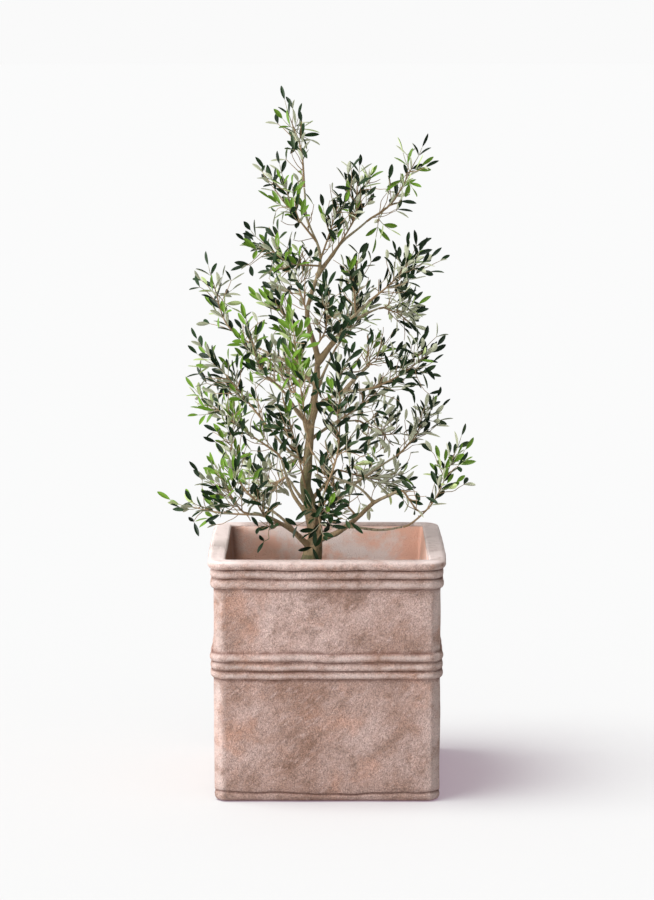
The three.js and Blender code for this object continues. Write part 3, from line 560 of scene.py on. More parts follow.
def stem_line(row, limbs):
    """The stem of one mass, from its limb to its tip."""
    parent, where, bend, tip = row[:4]
    root = root_of(limbs[parent], where)
    points = [root, metres(bend), metres(tip)]
    if where is None:
        points.insert(1, root + limbs[parent].line.tangent(1.0) * STEM_START)
    return Line(points)


def distances(points, starts, ends):
    """Distance from each point to each straight piece."""
    along = ends - starts
    offsets = points[:, None, :] - starts
    shares = np.clip((offsets * along).sum(2) / (along * along).sum(1), 0, 1)
    return np.linalg.norm(offsets - shares[..., None] * along, axis=2)


class Room:
    """What growth keeps clear of: the planter, the limbs and the other masses' space."""

    def __init__(self, limbs, stems):
        rings = [limb.rings(LIMB_STEP) for limb in limbs.values()]
        self.limb_starts = np.concatenate([points[:-1] for points, _ in rings])
        self.limb_ends = np.concatenate([points[1:] for points, _ in rings])
        self.limb_radii = np.concatenate([np.maximum(radii[:-1], radii[1:]) for _, radii in rings])
        lines = [stem.at(np.linspace(0, 1, max(3, round(stem.length / STEM_STEP)) + 1)) for stem in stems]
        self.stem_starts = np.concatenate([line[:-1] for line in lines])
        self.stem_ends = np.concatenate([line[1:] for line in lines])
        self.first_pieces = np.cumsum([0] + [len(line) - 1 for line in lines[:-1]])

    def is_free(self, points, margins, own):
        """True where points of one mass, each with its margin, are in the open and in that mass's space."""
        points, margins = np.atleast_2d(points), np.atleast_1d(margins)
        reach = np.abs(points[:, :2]).max(axis=1)
        lowest = np.where(reach < MOUTH_HALF - RIM_CLEARANCE, SOIL_HIGH.z, POT_HIGH.z) + RIM_CLEARANCE
        if (points[:, 2] < lowest).any():
            return False
        gaps = distances(points, self.limb_starts, self.limb_ends) - self.limb_radii
        if (gaps.min(axis=1) < margins).any():
            return False
        to_pieces = distances(points, self.stem_starts, self.stem_ends)
        nearest = np.minimum.reduceat(to_pieces, self.first_pieces, axis=1)
        others = np.delete(nearest, own, axis=1).min(axis=1)
        return bool((others > nearest[:, own] + 2 * margins).all())


def side_facing(tangent, angle):
    """The direction square to a tangent that faces an angle about it."""
    across = np.cross(tangent, UP)
    if np.linalg.norm(across) < 0.05:
        across = np.array((1.0, 0.0, 0.0))
    across = unit(across)
    over = unit(np.cross(across, tangent))
    return across * math.cos(angle) + over * math.sin(angle)


def leaning(tangent, side, lean):
    """The direction that leans off a tangent towards one side."""
    return unit(tangent * math.cos(lean) + side * math.sin(lean))


class Growth:
    """The foliage of all masses: twigs as lines with their radii, and leaves."""

    def __init__(self, limbs, leaf):
        self.leaf = leaf
        self.stems = [stem_line(row, limbs) for row in MASSES]
        self.room = Room(limbs, self.stems)
        self.twigs = []
        self.shoots = []
        self.bare = []
        self.leaves = []
        self.taken = {}
        for own, (row, stem) in enumerate(zip(MASSES, self.stems)):
            self.grow_mass(own, row, stem)

    def grow_mass(self, own, row, stem):
        """One mass by the solids' rule: side twigs turned round the stem, with sprays along them."""
        spread, count, young = row[4] * MM, row[5], row[6]
        random = seeded_random(own + 1)
        finer = seeded_random(FINER_SEED + own)
        turn = random() * 2 * math.pi
        lines = []
        for i in range(count):
            share = FIRST_TWIG + (LAST_TWIG - FIRST_TWIG) * i / (count - 1)
            nominal = (spread - SPRAY_LENGTH / 2) * (LOWEST_TWIG - SHORTER_UPWARDS * share)
            length = nominal * between(random, TWIG_RANGE)
            angle = turn + TWIG_TURN * i
            twig = (self.side_twig(own, stem, share, angle, length)
                    or self.side_twig(own, stem, share, angle + math.pi, length * SECOND_TRY))
            if twig:
                lines.append(twig)
        self.twigs.append((stem, *STEM_RADII))
        self.sprays_along(own, stem, STEM_SPRAYS, random, finer, young)
        self.leaves_along(own, stem, FIRST_LEAF_ON_STEM, finer, young)
        for twig in lines:
            self.twigs.append((twig, *TWIG_RADII))
            self.sprays_along(own, twig, TWIG_SPRAYS, random, finer, young)
            self.leaves_along(own, twig, FIRST_LEAF_ON_TWIG, finer, young)
        for line in (stem, *lines):
            self.bare_twigs(own, line, finer)

    def side_twig(self, own, stem, share, angle, length):
        """A twig that leaves its stem at a lean and lifts towards the sky, or None where it has no room."""
        start, tangent = stem.at(share), stem.tangent(share)
        direction = leaning(tangent, side_facing(tangent, angle), TWIG_LEAN)
        lifted = unit(direction + UP * TWIG_LIFT)
        middle = start + direction * length / 2
        tip = middle + lifted * length / 2
        probes = [start + (tip - start) * part for part in TWIG_PROBES]
        if not self.room.is_free(probes, [TWIG_RADIUS + SPACE_MARGIN] * len(probes), own):
            return None
        return Line((start, middle, tip))

    def sprays_along(self, own, line, shares, random, finer, young):
        """Sprays where the solids have leaves: opposite pairs, each turned square to the last, and a tip.
        A solid leaf's roll is drawn too, unused here, so that the same numbers follow."""
        turn = random() * math.pi
        for pair, share in enumerate(shares):
            point, tangent = line.at(share), line.tangent(share)
            for half in (0, 1):
                side = side_facing(tangent, turn + math.pi / 2 * pair + math.pi * half)
                lean = SPRAY_LEAN * between(random, SPRAY_LEAN_RANGE)
                length = SPRAY_LENGTH * between(random, SIDE_SPRAY_RANGE)
                between(random, (-SPRAY_ROLL, SPRAY_ROLL))
                self.spray(own, point, leaning(tangent, side, lean), length, finer, young)
        tip_length = SPRAY_LENGTH * between(random, TIP_SPRAY_RANGE)
        self.spray(own, line.at(1.0), line.tangent(1.0), tip_length, finer, young)

    def spray(self, own, root, direction, length, finer, young):
        """A fine shoot with its leaves, as long as the solids' leaf, kept where that leaf would be."""
        probes = [root + direction * length * share for share in SPRAY_PROBES]
        widths = [(1 - share) / (1 - SPRAY_WIDEST) if share > SPRAY_WIDEST else share / SPRAY_WIDEST
                  for share in SPRAY_PROBES]
        margins = [SPRAY_WIDTH / 2 * width + SPACE_MARGIN for width in widths]
        if not self.room.is_free(probes, margins, own):
            return
        reach = length - self.leaf.length * ROOM_FOR_TIP_LEAF
        middle = root + direction * reach / 2
        tip = middle + unit(direction + UP * SHOOT_LIFT) * reach / 2
        line = Line((root, middle, tip), steps=4)
        self.shoots.append((line, *SHOOT_RADII))
        tint = self.tint(finer, young * YOUNG_SPRAYS)
        tip_tint = "young" if finer() < YOUNG_TIPS[0] + YOUNG_TIPS[1] * young else tint
        self.pairs(own, line, FIRST_LEAF_ON_SHOOT, finer, tint, tip_tint)
        end, onward = line.at(1.0), line.tangent(1.0)
        self.add_leaf(own, end, onward, onward, TIP_LEAF_SIZE, finer, tip_tint)

    def bare_twigs(self, own, line, finer):
        """Thin crooked twigs with leaves only at their tips."""
        onward = line.tangent(0.5)
        for _ in range(round(line.length / BARE_TWIG_GAP)):
            points = [line.at(between(finer, BARE_TWIG_ROOTS))]
            direction = leaning(onward, side_facing(onward, finer() * 2 * math.pi), BARE_TWIG_LEAN)
            for _ in range(BARE_TWIG_BENDS):
                stray = np.array([between(finer, BARE_TWIG_WANDER) for _ in range(3)])
                direction = unit(direction + UP * BARE_TWIG_LIFT + stray)
                point = points[-1] + direction * between(finer, BARE_TWIG_BEND_RANGE)
                if point[2] < POT_HIGH.z or not self.room.is_free(point, SPACE_MARGIN, own):
                    break
                points.append(point)
            if len(points) > 2:
                twig = Line(points, steps=3)
                self.bare.append((twig, *BARE_TWIG_RADII))
                self.end_pair(own, twig, finer, self.tint(finer, 0))

    def end_pair(self, own, line, finer, tint):
        """One opposite pair of leaves near a bare twig's tip."""
        turn = finer() * math.pi
        point, tangent = line.at(BARE_TWIG_PAIR), line.tangent(BARE_TWIG_PAIR)
        for half in (0, 1):
            side = side_facing(tangent, turn + math.pi * half)
            lean = END_PAIR_LEAN * between(finer, END_PAIR_LEAN_RANGE)
            self.add_leaf(own, point, leaning(tangent, side, lean), tangent, END_PAIR_SIZE, finer, tint)

    def leaves_along(self, own, line, first, finer, young):
        """Leaves that grow straight from a stem or side twig."""
        tint = self.tint(finer, young * YOUNG_SPRAYS)
        self.pairs(own, line, first, finer, tint, tint)

    def pairs(self, own, line, first, finer, tint, tip_tint):
        """Opposite pairs of leaves at even gaps, each pair turned square to the last."""
        turn = finer() * math.pi
        count = int(line.length * (1 - first) / self.leaf.gap)
        for pair in range(count):
            share = first + (1 - first) * (pair + 0.5 * finer()) / max(count, 1)
            point, tangent = line.at(share), line.tangent(share)
            for half in (0, 1):
                side = side_facing(tangent, turn + math.pi / 2 * pair + math.pi * half)
                lean = LEAF_LEAN * between(finer, LEAF_LEAN_RANGE)
                shown = tip_tint if pair == count - 1 else tint
                self.add_leaf(own, point, leaning(tangent, side, lean), tangent, 1.0, finer, shown)

    def add_leaf(self, own, root, direction, tangent, size, finer, tint):
        """One leaf, unless it would leave its mass's space or touch a limb."""
        length = self.leaf.length * size * between(finer, LEAF_LENGTH_RANGE)
        width = self.leaf.width * size * between(finer, LEAF_WIDTH_RANGE)
        probes = [root + direction * length * share for share in LEAF_PROBES]
        if self.is_crowded(probes[0]) or not self.room.is_free(probes, [SPACE_MARGIN, 0.0], own):
            return
        self.taken.setdefault(self.cell(probes[0]), []).append(probes[0])
        face = tangent + unit(root * (1, 1, 0)) * OUTWARD_TURN + UP * UPWARD_TURN + FRONT * FRONT_TURN
        face = face - direction * np.dot(face, direction)
        if np.linalg.norm(face) < 0.05:
            face = side_facing(direction, math.pi / 2)
        face = unit(face)
        roll = between(finer, LEAF_ROLL_RANGE)
        face = face * math.cos(roll) + np.cross(direction, face) * math.sin(roll)
        curl = between(finer, LEAF_CURL_RANGE)
        self.leaves.append((tint, root, direction, face, length, width, curl))

    def cell(self, point):
        """The small cube of space that a point is in."""
        return tuple(int(value // self.leaf.crowding) for value in point)

    def is_crowded(self, point):
        """True where another leaf's middle is nearer than the leaves' least distance."""
        x, y, z = self.cell(point)
        near = (other for i in (-1, 0, 1) for j in (-1, 0, 1) for k in (-1, 0, 1)
                for other in self.taken.get((x + i, y + j, z + k), ()))
        return any(np.linalg.norm(other - point) < self.leaf.crowding for other in near)

    def tint(self, finer, young):
        """One of the four tints, drawn by share."""
        draw = finer()
        if draw < young:
            return "young"
        rest = (draw - young) / (1 - young)
        return "deep" if rest < DEEP_SHARE else "green" if rest < DEEP_OR_GREEN_SHARE else "grey"


def tube_mesh(name, lines, sides):
    """Round closed tubes: each line is its points with their radii."""
    curve = bpy.data.curves.new(name, "CURVE")
    curve.dimensions = "3D"
    curve.bevel_depth = 1.0
    curve.bevel_resolution = sides // 2 - 2
    curve.use_fill_caps = True
    for points, radii in lines:
        spline = curve.splines.new("POLY")
        spline.points.add(len(points) - 1)
        spline.points.foreach_set("co", np.column_stack((points, np.ones(len(points)))).ravel())
        spline.points.foreach_set("radius", radii)
    tubes = bpy.data.objects.new(name, curve)
    mesh = bpy.data.meshes.new_from_object(tubes)
    bpy.data.objects.remove(tubes)
    bpy.data.curves.remove(curve)
    mesh.polygons.foreach_set("use_smooth", [True] * len(mesh.polygons))
    return mesh


def tapered(line, root, tip, step):
    """A line's evenly spaced points, with radii from root to tip."""
    shares = np.linspace(0, 1, max(3, round(line.length / step) + 1))
    return line.at(shares), root + (tip - root) * shares


def add_piece(name, mesh, materials, replaced=()):
    """Puts a finished mesh in the scene as a piece of the object."""
    piece = bpy.data.objects.new(name, mesh)
    bpy.context.scene.collection.objects.link(piece)
    for material in materials:
        mesh.materials.append(material)
    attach(piece, "root")
    if replaced:
        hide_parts(*replaced)
    return piece


def applied(mesh, *modifiers):
    """The mesh with modifiers applied: each is its type and its settings."""
    holder = bpy.data.objects.new("holder", mesh)
    bpy.context.scene.collection.objects.link(holder)
    for kind, settings in modifiers:
        modifier = holder.modifiers.new(kind.title(), kind)
        for key, value in settings.items():
            setattr(modifier, key, value)
    depsgraph = bpy.context.evaluated_depsgraph_get()
    result = bpy.data.meshes.new_from_object(holder.evaluated_get(depsgraph))
    bpy.data.objects.remove(holder)
    bpy.data.meshes.remove(mesh)
    return result


def rounded(centre, reach, start, end, steps):
    """Points along part of an ellipse, from one angle to another in degrees."""
    angles = np.radians(np.linspace(start, end, steps + 1))
    return [(centre[0] + reach[0] * math.cos(angle), centre[1] + reach[1] * math.sin(angle))
            for angle in angles]


def straight(start, end, step):
    """Points along a straight line, without its last one."""
    count = max(1, round(math.dist(start, end) / step))
    return [(start[0] + (end[0] - start[0]) * i / count, start[1] + (end[1] - start[1]) * i / count)
            for i in range(count)]


def planter_profile(planter):
    """Half widths and heights, from the middle of the underside, up the outside and down the inside."""
    half, mouth, top = planter.body_width / 2, planter.mouth_width / 2, planter.height
    foot, roll, lip = half - FOOT_RADIUS, planter.rim_width / 2 - ROLL_RADIUS, mouth + LIP_RADIUS
    profile = straight((0, 0), (foot, 0), UNDERSIDE_STEP)
    profile += rounded((foot, FOOT_RADIUS), (FOOT_RADIUS, FOOT_RADIUS), -90, 0, 5)
    profile += [(half - depth, BASE_GROOVE + above) for above, depth in GROOVE_STEPS]
    reached = BASE_GROOVE + BASE_GROOVE_REACH
    for middle, tall, proud in BEADS:
        if middle - tall / 2 - reached > LEAST_FLAT:
            profile += straight((half, reached), (half, middle - tall / 2), WALL_STEP)
        profile += rounded((half, middle), (proud, tall / 2), -88, 88, 9)
        reached = middle + tall / 2
    profile += rounded((roll, top - ROLL_RADIUS), (ROLL_RADIUS, ROLL_RADIUS), -60, 90, 10)
    profile += straight((roll - FLAT_BEHIND_ROLL, top), (lip, top), FINE_STEP)
    profile += rounded((lip, top - LIP_RADIUS), (LIP_RADIUS, LIP_RADIUS), 90, 180, 5)
    hidden, floor = SOIL_HIGH.z - 2 * WALL_STEP, planter.floor_thickness
    profile += straight((mouth, top - LIP_RADIUS), (mouth - INNER_SWELL, SOIL_HIGH.z - SOIL_DIP), WALL_STEP)
    profile += straight((mouth, hidden), (mouth, floor), 1.5 * WALL_STEP)
    profile += straight((mouth, floor), (0, floor), COARSE_STEP)
    profile.append((0, floor))
    return profile


def spun(profile, steps):
    """A bmesh of a profile turned about the upright axis."""
    bm = bmesh.new()
    points = [bm.verts.new((half, 0, height)) for half, height in profile]
    edges = [bm.edges.new(pair) for pair in zip(points, points[1:])]
    bmesh.ops.spin(bm, geom=points + edges, cent=(0, 0, 0), axis=(0, 0, 1), angle=2 * math.pi, steps=steps,
                   use_merge=True)
    bmesh.ops.remove_doubles(bm, verts=bm.verts, dist=1e-6)
    return bm


def on_square(half, turn, corner_radius):
    """Where a point that was turned to a share of the full turn belongs on a rounded square, which way
    is outward there, how far it is round its corner, and how far along its flat side."""
    step = turn * STEPS_ROUND
    quarter, step = divmod(step, CORNER_STEPS + SIDE_STEPS)
    round_corner = min(step / CORNER_STEPS, 1.0)
    along_side = max(0.0, (step - CORNER_STEPS) / SIDE_STEPS)
    angle = math.pi / 2 * (quarter + round_corner)
    centre_angle = math.pi / 2 * (quarter + 0.5)
    radius = min(half, corner_radius)
    outward = Vector((math.cos(angle), math.sin(angle), 0))
    centre = Vector((math.cos(centre_angle), math.sin(centre_angle), 0)) * (half - radius) * math.sqrt(2)
    sideways = Vector((-outward.y, outward.x, 0)) * along_side * 2 * (half - radius)
    return centre + outward * radius + sideways, outward, round_corner, along_side


def square_up(bm, corner_radius, finish):
    """Draws each turned point out to its place on a rounded square, then lets finish move it further."""
    for vert in bm.verts:
        half = vert.co.xy.length
        turn = math.atan2(vert.co.y, vert.co.x) / (2 * math.pi) % 1
        height = vert.co.z
        place, outward, round_corner, along_side = on_square(half, turn, corner_radius(half))
        place.z = height
        vert.co = finish(vert, place, outward, round_corner, along_side, half)
    bmesh.ops.recalc_face_normals(bm, faces=bm.faces)


def bell(distance, reach):
    """One at no distance, falling away smoothly to almost nothing at twice the reach."""
    return math.exp(-((distance / reach) ** 2))


def ripple(place, wave, seed):
    """A smooth wave across the ground plan, with its length and height, another one for each seed."""
    length, height = wave
    return noise.noise(Vector((place.x / length, place.y / length, seed))) * height


def make_planter_mesh(planter):
    """The planter: a turned profile drawn out square, with the unevenness of hand-pressed clay."""
    bm = spun(planter_profile(planter), STEPS_ROUND)
    hollow, crest, inside, topmost, chipped = (
        bm.verts.layers.float.new(name) for name in ("hollow", "crest", "inside", "topmost", "chipped"))
    half_body, mouth, top = planter.body_width / 2, planter.mouth_width / 2, planter.height

    def corner_radius(half):
        if half < mouth + LIP_RADIUS + HAIR:
            return INNER_CORNER
        return max(LEAST_CORNER, planter.corner_radius + half - half_body)

    def finish(vert, place, outward, round_corner, along_side, half):
        height = place.z
        is_inside = half < mouth + HAIR and height > planter.floor_thickness - HAIR
        vert[inside] = 1.0 if is_inside and height < top - FINE_STEP else 0.0
        # A painted highlight on the rim's top.
        vert[topmost] = bell(max(0.0, top - RIM_HIGHLIGHT[0] - height), RIM_HIGHLIGHT[1])
        if is_inside or half <= half_body - OUTER_DEPTH:
            return place + outward * noise.noise(place / INNER_WAVE) * planter.unevenness * (height > HAIR)
        at_corner = 0 < round_corner < 1
        # Dirt and painted shade in the creases.
        vert[hollow] = max(bell(height - crease, CREASE_REACH) for crease in CREASES)
        # Wear and a painted highlight on the rim's crest, the corners and the beads' crests.
        vert[crest] = max(bell(max(0.0, top - RIM_CREST[0] - height), RIM_CREST[1]),
                          at_corner * CORNER_WEAR_AND_HIGHLIGHT * bell(round_corner - CORNER_CREST[0], CORNER_CREST[1]),
                          *(bell(height - middle, tall / 4) for middle, tall, _ in BEADS))
        bead = min(range(len(BEADS)), key=lambda i: abs(BEADS[i][0] - height))
        near_bead = bell(max(0.0, abs(BEADS[bead][0] - height) - BEAD_REACH[0]), BEAD_REACH[1])
        shift = ripple(place, BEAD_WAVES, bead * WAVE_SEEDS[0]) * near_bead
        shift += ripple(place, GROOVE_WAVES, WAVE_SEEDS[2]) * bell(height - BASE_GROOVE, GROOVE_WAVES_REACH)
        push = noise.noise(place / WALL_WAVE) * planter.unevenness
        push += noise.noise(place / FINE_DENTS[0]) * FINE_DENTS[1]
        push += ripple(place, BEAD_DENTS, bead * WAVE_SEEDS[1]) * near_bead
        ridge = max(bell(round_corner - share, RIDGE_REACH) for share in RIDGE_PLACES)
        push += at_corner * RIDGE_HEIGHT * ridge * (1 - near_bead)
        push += RIM_BULGE * math.sin(math.pi * along_side) * bell(height - top, RIM_BULGE_REACH)
        scar = Vector((a / b for a, b in zip(place - CHIP, CHIP_SIZE))).length
        vert[chipped] = bell(scar, CHIP_SOFTNESS)
        push -= CHIP_DEPTH * vert[chipped]
        if height < HAIR:
            push, shift = 0.0, 0.0
        return place + outward * push + UPWARD * shift * min(1.0, height / LOWEST_WAVES)

    square_up(bm, corner_radius, finish)
    return finished_mesh(bm, "planter")


def finished_mesh(bm, name):
    """A smooth-shaded mesh of what was modelled."""
    for face in bm.faces:
        face.smooth = True
    mesh = bpy.data.meshes.new(name)
    bm.to_mesh(mesh)
    bm.free()
    return mesh


def make_soil_mesh(planter, soil):
    """Soil that fills the planter, with clods on top and a low mound round the trunk."""
    half, low, top = planter.mouth_width / 2 - SOIL_GAP, SOIL_LOW.z, SOIL_HIGH.z
    profile = straight((0, low), (half, low), COARSE_STEP)
    profile += straight((half, low), (half, top - SOIL_SHOULDER), COARSE_STEP)
    profile += straight((half, top - SOIL_SHOULDER), (0, top - SOIL_DIP), FINE_STEP)
    profile.append((0, top - SOIL_DIP))
    bm = spun(profile, STEPS_ROUND)

    def finish(vert, place, outward, round_corner, along_side, half_width):
        if place.z < top - SOIL_SHOULDER - HAIR:
            return place
        edge = min(1.0, (half - half_width) / SOIL_SHOULDER)
        rise = noise.fractal(place / SOIL_WAVE, 0.6, 2.1, 5) * soil.clod_height * 0.5
        rise += max(0.0, noise.noise(place / CLODS[0])) * CLODS[1]
        rise += MOUND[1] * bell((place.xy - TRUNK_FOOT.xy).length, MOUND[0])
        place.z = min(place.z + rise * edge, top + HIGHEST_CLOD)
        return place

    square_up(bm, lambda half_width: SOIL_CORNER, finish)
    return finished_mesh(bm, "soil_fill")


def make_bark_mesh(limbs, settings):
    """Trunk and boughs grown into one skin, with ridges that are deeper where the wood is thicker."""
    lines = [limb.rings(BARK_STEP) for limb in limbs.values()]
    lines = [(points + wander(points) * radii[:, None], radii * uneven(points)) for points, radii in lines]
    mesh = tube_mesh("bark", lines, BARK_SIDES)
    mesh = applied(mesh, ("REMESH", {"mode": "VOXEL", "voxel_size": BARK_FINENESS}),
                   ("SMOOTH", {"factor": 0.5, "iterations": 4}))
    nearest = kdtree.KDTree(sum(len(points) for points, _ in lines))
    thickness = np.concatenate([radii for _, radii in lines])
    for i, point in enumerate(np.concatenate([points for points, _ in lines])):
        nearest.insert(point, i)
    nearest.balance()
    bm = bmesh.new()
    bm.from_mesh(mesh)
    bpy.data.meshes.remove(mesh)
    thick = bm.verts.layers.float.new("thickness")
    for vert in bm.verts:
        _, i, _ = nearest.find(vert.co)
        vert[thick] = min(1.0, thickness[i] / OLD_RADIUS)
        place = vert.co
        stretched = Vector((place.x / RIDGE_WIDTH, place.y / RIDGE_WIDTH, place.z / RIDGE_LENGTH))
        ridges = noise.fractal(stretched, 0.8, 2.0, 3) * settings.relief
        knots = noise.noise(place / KNOTS[0]) * KNOTS[1]
        vert.co = place + vert.normal * (ridges + knots) * vert[thick]
    return finished_mesh(bm, "bark")


def wander(points):
    """How far a limb bends off its line at each point, as a share of its radius."""
    return np.array([[noise.noise(Vector(point) / WANDER_WAVE + shift) for shift in WANDER_SHIFTS]
                     for point in points]) * WANDER_SHARE


def uneven(points):
    """How much thicker or thinner a limb is at each point than its even taper."""
    return np.array([1 + SWELLING[1] * noise.noise(Vector(point) / SWELLING[0]) for point in points])


def leaf_blade():
    """One leaf of unit length and half width: a grid drawn to a pointed outline, with an underside
    joined to it round the edge. Gives its points, faces and each face's material."""
    bm = bmesh.new()
    bmesh.ops.create_grid(bm, x_segments=len(LEAF_STATIONS) - 1, y_segments=2, size=1)
    for vert in bm.verts:
        station = round((vert.co.x + 1) / 2 * (len(LEAF_STATIONS) - 1))
        vert.co = (LEAF_STATIONS[station], round(vert.co.y) * LEAF_BREADTHS[station], 0)
    upper = list(bm.faces)
    copied = bmesh.ops.duplicate(bm, geom=upper)
    under = [item for item in copied["geom"] if isinstance(item, bmesh.types.BMFace)]
    bmesh.ops.reverse_faces(bm, faces=under)
    for face in under:
        face.material_index = 1
    for vert in {vert for face in under for vert in face.verts}:
        if abs(vert.co.y) < 1e-6:
            vert.co.z = -1
    for vert in bm.verts:
        if vert.co.x < 1e-6 or vert.co.x > 1 - 1e-6:
            vert.co.z = 0
    bmesh.ops.remove_doubles(bm, verts=bm.verts, dist=1e-5)
    bm.verts.ensure_lookup_table()
    points = np.array([vert.co for vert in bm.verts])
    faces = [[vert.index for vert in face.verts] for face in bm.faces]
    sides = [face.material_index for face in bm.faces]
    bm.free()
    return points, faces, sides


def leaves_mesh(name, leaves, thickness):
    """All leaves of one tint as one mesh: the blade copied to each leaf's place by arrays."""
    blade, faces, sides = leaf_blade()
    roots, directions, fronts = (np.array([leaf[i] for leaf in leaves])[:, None, :] for i in (1, 2, 3))
    lengths, widths, curls = (np.array([leaf[i] for leaf in leaves])[:, None] for i in (4, 5, 6))
    acrosses = np.cross(fronts, directions)
    along, across, below = blade.T
    lift = lengths * curls * along**2 + np.abs(across) * widths * LEAF_CUP + below * thickness
    points = (roots + directions * (along * lengths)[..., None] + acrosses * (across * widths / 2)[..., None]
              + fronts * lift[..., None])
    mesh = bpy.data.meshes.new(name)
    shift = len(blade)
    all_faces = [[corner + shift * i for corner in face] for i in range(len(leaves)) for face in faces]
    mesh.from_pydata(points.reshape(-1, 3), [], all_faces)
    mesh.polygons.foreach_set("material_index", sides * len(leaves))
    mesh.polygons.foreach_set("use_smooth", [True] * len(all_faces))
    mesh.set_sharp_from_angle(angle=math.radians(30))
    return mesh


def node(tree, kind, inputs=None, **settings):
    """A node with its settings, and each named input linked or set."""
    made = tree.nodes.new(kind)
    for key, value in settings.items():
        setattr(made, key, value)
    for key, value in (inputs or {}).items():
        if isinstance(value, bpy.types.NodeSocket):
            tree.links.new(value, made.inputs[key])
        else:
            made.inputs[key].default_value = value
    return made


def opaque(colour):
    """A colour with its alpha of one."""
    return (*colour, 1.0)


def mixed(tree, mask, first, second, blend="MIX"):
    """A colour that goes from first to second with a mask."""
    colours = [opaque(c) if not isinstance(c, bpy.types.NodeSocket) else c for c in (first, second)]
    made = node(tree, "ShaderNodeMix", {0: mask, 6: colours[0], 7: colours[1]}, data_type="RGBA",
                blend_type=blend)
    return made.outputs[2]


def worked(tree, operation, first, second):
    """A sum, product or other working of two values."""
    return node(tree, "ShaderNodeMath", {0: first, 1: second}, operation=operation).outputs[0]


def scaled(tree, value, share):
    """A value or mask made weaker or stronger."""
    return worked(tree, "MULTIPLY", value, share)


def ramped(tree, value, start, end, low=0.0, high=1.0):
    """A value that goes from low to high while another goes from start to end."""
    return node(tree, "ShaderNodeMapRange", {"Value": value, "From Min": start, "From Max": end,
                                             "To Min": low, "To Max": high}).outputs["Result"]


def given_by(tree, attribute):
    """A value that the mesh carries at each of its points."""
    return node(tree, "ShaderNodeAttribute", attribute_name=attribute).outputs["Fac"]


def stretched(tree, place, scale, turn=(0.0, 0.0, 0.0)):
    """Where a pattern is read so that it runs in long strokes, first turned and then squeezed."""
    turned = node(tree, "ShaderNodeMapping", {"Vector": place, "Rotation": turn}).outputs["Vector"]
    return node(tree, "ShaderNodeMapping", {"Vector": turned, "Scale": scale}).outputs["Vector"]


def finish_surface(tree, shader, colour, height, strength, distance):
    """Gives a shader its colour and the relief of a height."""
    tree.links.new(colour, shader.inputs["Base Color"])
    bump = node(tree, "ShaderNodeBump", {"Strength": strength, "Distance": distance, "Height": height})
    tree.links.new(bump.outputs["Normal"], shader.inputs["Normal"])


def new_group(name, inputs, outputs):
    """A shader node group with named sockets: each input is a name, kind and value."""
    group = bpy.data.node_groups.new(name, "ShaderNodeTree")
    for label, kind, value in inputs:
        socket = group.interface.new_socket(label, in_out="INPUT", socket_type=kind)
        if value is not None:
            socket.default_value = value
    for label, kind in outputs:
        group.interface.new_socket(label, in_out="OUTPUT", socket_type=kind)
    return group, node(group, "NodeGroupInput").outputs


def patches_group():
    """Soft patches: a mask of cloudy shapes, between a low and a high mark."""
    group, given = new_group(
        "Patches",
        [("Place", "NodeSocketVector", None), ("Scale", "NodeSocketFloat", 8.0),
         ("Detail", "NodeSocketFloat", 5.0), ("Warp", "NodeSocketFloat", 0.4),
         ("Low", "NodeSocketFloat", 0.45), ("High", "NodeSocketFloat", 0.6)],
        [("Mask", "NodeSocketFloat")])
    cloud = node(group, "ShaderNodeTexNoise", {"Vector": given["Place"], "Scale": given["Scale"],
                                               "Detail": given["Detail"], "Distortion": given["Warp"],
                                               "Roughness": 0.62})
    mask = node(group, "ShaderNodeMapRange", {"Value": cloud.outputs["Fac"], "From Min": given["Low"],
                                              "From Max": given["High"]}, interpolation_type="SMOOTHSTEP")
    node(group, "NodeGroupOutput", {"Mask": mask.outputs["Result"]})
    return group


def grain_group():
    """Fine grain: a value about one half for colour, and a height for relief."""
    group, given = new_group(
        "Grain",
        [("Place", "NodeSocketVector", None), ("Scale", "NodeSocketFloat", 400.0)],
        [("Value", "NodeSocketFloat"), ("Height", "NodeSocketFloat")])
    fine = node(group, "ShaderNodeTexNoise", {"Vector": given["Place"], "Scale": given["Scale"],
                                              "Detail": 3.0, "Roughness": 0.7})
    pits = node(group, "ShaderNodeTexVoronoi", {"Vector": given["Place"], "Scale": given["Scale"]},
                feature="F1", distance="EUCLIDEAN")
    pit = ramped(group, pits.outputs["Distance"], 0.1, 0.5)
    height = worked(group, "MULTIPLY", fine.outputs["Fac"], pit)
    node(group, "NodeGroupOutput", {"Value": fine.outputs["Fac"], "Height": height})
    return group


